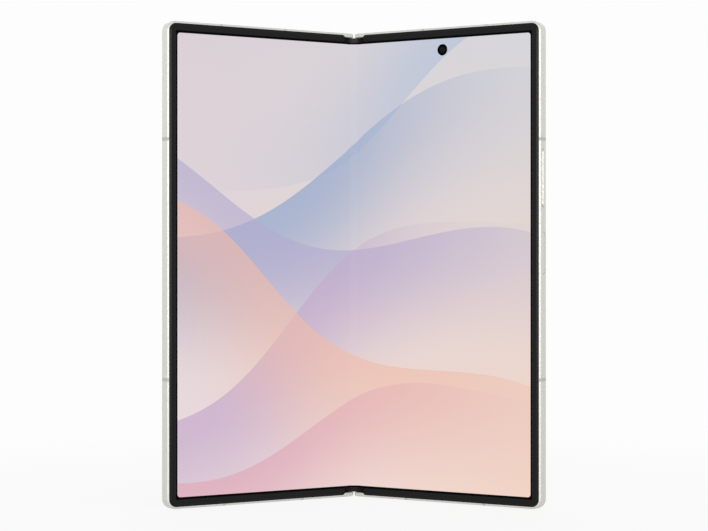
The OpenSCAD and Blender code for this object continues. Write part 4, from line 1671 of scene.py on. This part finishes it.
# The inner camera looks out through the screen's cover, which mutes its glass
INNER_CAMERA = FrontCamera(
    name="inner_camera", nodes=("inner_camera",), side=Side.RIGHT, x=35.0, z=150.9,
    outer_r=1.85, lens_r=1.15, face=BODY.screen_drop + 0.02, outward=-1, body_depth=2.0,
    window=INNER_PRINT, glass=CoatedLens(
        # The second colour is its painted rim sheen, kept a touch darker than its glass
        "coated_lens_under_polymer", "#0f0f11", "#0c0b12", specular=0.09, coat=0.0, film_nm=0.0
    ),
)
COVER_CAMERA = FrontCamera(
    name="cover_camera", nodes=(), side=Side.LEFT, x=38.0, z=150.4,
    outer_r=1.9, lens_r=1.3, face=BODY.depth + 0.02, outward=1, body_depth=0.3,
    window=LENS_PRINT, glass=CoatedLens(),
)


@dataclass(frozen=True)
class BottomPorts:
    """What shows in the bottom edge: the connector's tongue and contacts, and the sound mesh."""

    port: Point = (35.8, 2.15)
    tongue_w: float = 6.69
    tongue_t: float = 0.74
    tongue_z: Point = (2.1, 7.3)
    contacts: int = 12
    contact_pitch: float = 0.5
    contact_w: float = 0.26
    contact_rise: float = 0.03
    contact_z: Point = (2.6, 6.3)
    mesh_x: Point = (53.8, 63.8)
    mesh_half: float = 0.7
    mesh_z: Point = (1.38, 1.48)

    def make(self, bench: Bench) -> None:
        """Makes the tongue, its contacts and the mesh.

        Args:
            bench: Where the pieces are handed over.
        """
        place, body = bench.places[Side.RIGHT], Side.RIGHT.body
        x, y = self.port
        wide, half = self.tongue_w / 2, self.tongue_t / 2
        tongue = block((x - wide, x + wide), (y - half, y + half), self.tongue_z, 0.12)
        piece = make_piece("connector_tongue", tongue, SPEAKER_LCP, place)
        bench.hand_over(piece, body, slot="speaker_plastic")
        first, wide = x - self.contact_pitch * (self.contacts - 1) / 2, self.contact_w / 2
        half += self.contact_rise
        contact = block((first - wide, first + wide), (y - half, y + half), self.contact_z, 0.03)
        piece = make_piece("connector_contacts", contact, CONTACT_GOLD, place)
        step = place.to_row((self.contact_pitch, 0, 0)) - place.to_row((0, 0, 0))
        Repeater().run(piece, self.contacts, step)
        bench.hand_over(piece, body, slot="bright_steel")
        mesh = block(self.mesh_x, (y - self.mesh_half, y + self.mesh_half), self.mesh_z)
        piece = make_piece("speaker_mesh", mesh, SOUND_MESH, place)
        bench.hand_over(piece, body, slot="camera_black")


# Finishes of the CAD nodes that keep their own shape
NODE_FINISHES: dict[Surface, tuple[str, ...]] = {
    CAST_ALLOY: ("hinge_brackets", "left_hinge_arms", "right_hinge_arms"),
    ZINC_STEEL: ("hinge_idler_pins", "hinge_screws", "left_screws", "right_screws"),
    SINTERED_BRONZE: ("left_idler_gears", "right_idler_gears"),
    POLYIMIDE: ("side_key_flex",),
    SHEET_STEEL: (
        "left_support_plate", "right_support_plate", "board_shields", "haptic_motor",
        "sim_reader", "usb_c_receptacle",
    ),
    CELL_LAMINATE: ("left_battery", "right_battery"),
    BoardFinish(): ("left_circuit_board", "main_board", "usb_board"),
    GRAPHITE: ("cover_display_panel",),
    LENS_BAFFLE: ("cover_camera", "camera_modules"),
    SOUND_MESH: ("cover_earpiece",),
    SPEAKER_LCP: ("top_speaker", "loudspeaker"),
    COIL_COPPER: ("charging_coil",),
}


def dress_nodes(nodes: dict[str, bpy.types.Object]) -> None:
    """Gives each CAD node that stays its finish.

    Args:
        nodes: The CAD nodes by name.
    """
    for surface, names in NODE_FINISHES.items():
        for name in names:
            for slot in nodes[name].material_slots:
                slot.material = surface.build()
            log.info("%s has the finish %s", name, surface.name)


@dataclass(frozen=True)
class SoftLamp:
    """A flat softbox that looks at the phone, in metres and watts."""

    name: str
    place: tuple[float, float, float]
    wide: float
    high: float
    power: float


@dataclass(frozen=True)
class Studio:
    """A white room: pale floor, soft lamps, and the camera where the photograph was taken."""

    height: float = 0.07902
    distance: float = 0.6596
    lens: float = 100.5
    sensor: float = 36.0
    clip: Point = (0.01, 20.0)
    ambient: float = 0.55
    floor_half: float = 4.0
    lamps: tuple[SoftLamp, ...] = (
        SoftLamp("front", (0.0, -1.3, 0.23), 1.3, 0.48, 9.2),
        SoftLamp("left", (-1.1, 0.15, 0.35), 0.6, 0.6, 1.0),
        SoftLamp("right", (1.1, 0.15, 0.35), 0.6, 0.6, 0.5),
        SoftLamp("back", (0.0, 1.2, 0.4), 1.8, 0.7, 8.0),
    )

    def make(self) -> None:
        """Makes the floor, world, lamps and camera."""
        scene = bpy.context.scene
        scene.view_settings.view_transform = "Standard"
        self._floor()
        self._world(scene)
        target = Vector((0, 0, self.height))
        for lamp in self.lamps:
            light = bpy.data.lights.new(lamp.name, "AREA")
            light.shape, light.energy = "RECTANGLE", lamp.power
            light.size, light.size_y = lamp.wide, lamp.high
            piece = link_object(lamp.name, light)
            piece.location = lamp.place
            aim = (target - Vector(lamp.place)).to_track_quat("-Z", "Y")
            piece.rotation_euler = aim.to_euler()
        camera = bpy.data.cameras.new("camera")
        camera.lens, camera.sensor_width, camera.sensor_fit = self.lens, self.sensor, "HORIZONTAL"
        camera.clip_start, camera.clip_end = self.clip
        piece = link_object("camera", camera)
        piece.location = (0, -self.distance, self.height)
        piece.rotation_euler = (math.pi / 2, 0, 0)
        scene.camera = piece

    def _floor(self) -> None:
        """Lays the paper floor."""
        bm = bmesh.new()
        bmesh.ops.create_grid(bm, x_segments=8, y_segments=8, size=self.floor_half)
        mesh = bpy.data.meshes.new("floor")
        bm.to_mesh(mesh)
        bm.free()
        mesh.materials.append(PaperFloor().build())
        link_object("floor", mesh)

    def _world(self, scene: bpy.types.Scene) -> None:
        """Makes a world that is white where it is seen or mirrored, and a little dimmer as light.

        Args:
            scene: The scene that it surrounds.
        """
        world = bpy.data.worlds.new("white_room")
        world.use_nodes = True
        scene.world = world
        tree = world.node_tree
        tree.nodes.clear()
        rays = add_node(tree, "ShaderNodeLightPath").outputs
        seen = rays["Is Camera Ray"]
        for other in ("Is Glossy Ray", "Is Transmission Ray"):
            seen = add_node(tree, "ShaderNodeMath", {0: seen, 1: rays[other]}, operation="MAXIMUM")
        strength = add_node(tree, "ShaderNodeMapRange", {
            "Value": seen, "To Min": self.ambient, "To Max": 1.0,
        })
        sky = add_node(tree, "ShaderNodeBackground", {
            "Color": linear(PAPER), "Strength": strength,
        })
        add_node(tree, "ShaderNodeOutputWorld", {"Surface": sky})


def main() -> None:
    """Builds the phone's looks round its frame."""
    logging.basicConfig(level=logging.INFO, format="%(message)s")
    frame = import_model()
    Studio().make()
    bench = Bench(frame)
    for part in (
        InnerScreen(), FlexCables(), BezelTrim(), Housing(), Spine(), Keys(), RearCameras(),
        INNER_CAMERA, COVER_CAMERA, BottomPorts(),
    ):
        part.make(bench)
    dress_nodes(frame["nodes"])


if __name__ == "__main__":
    main()
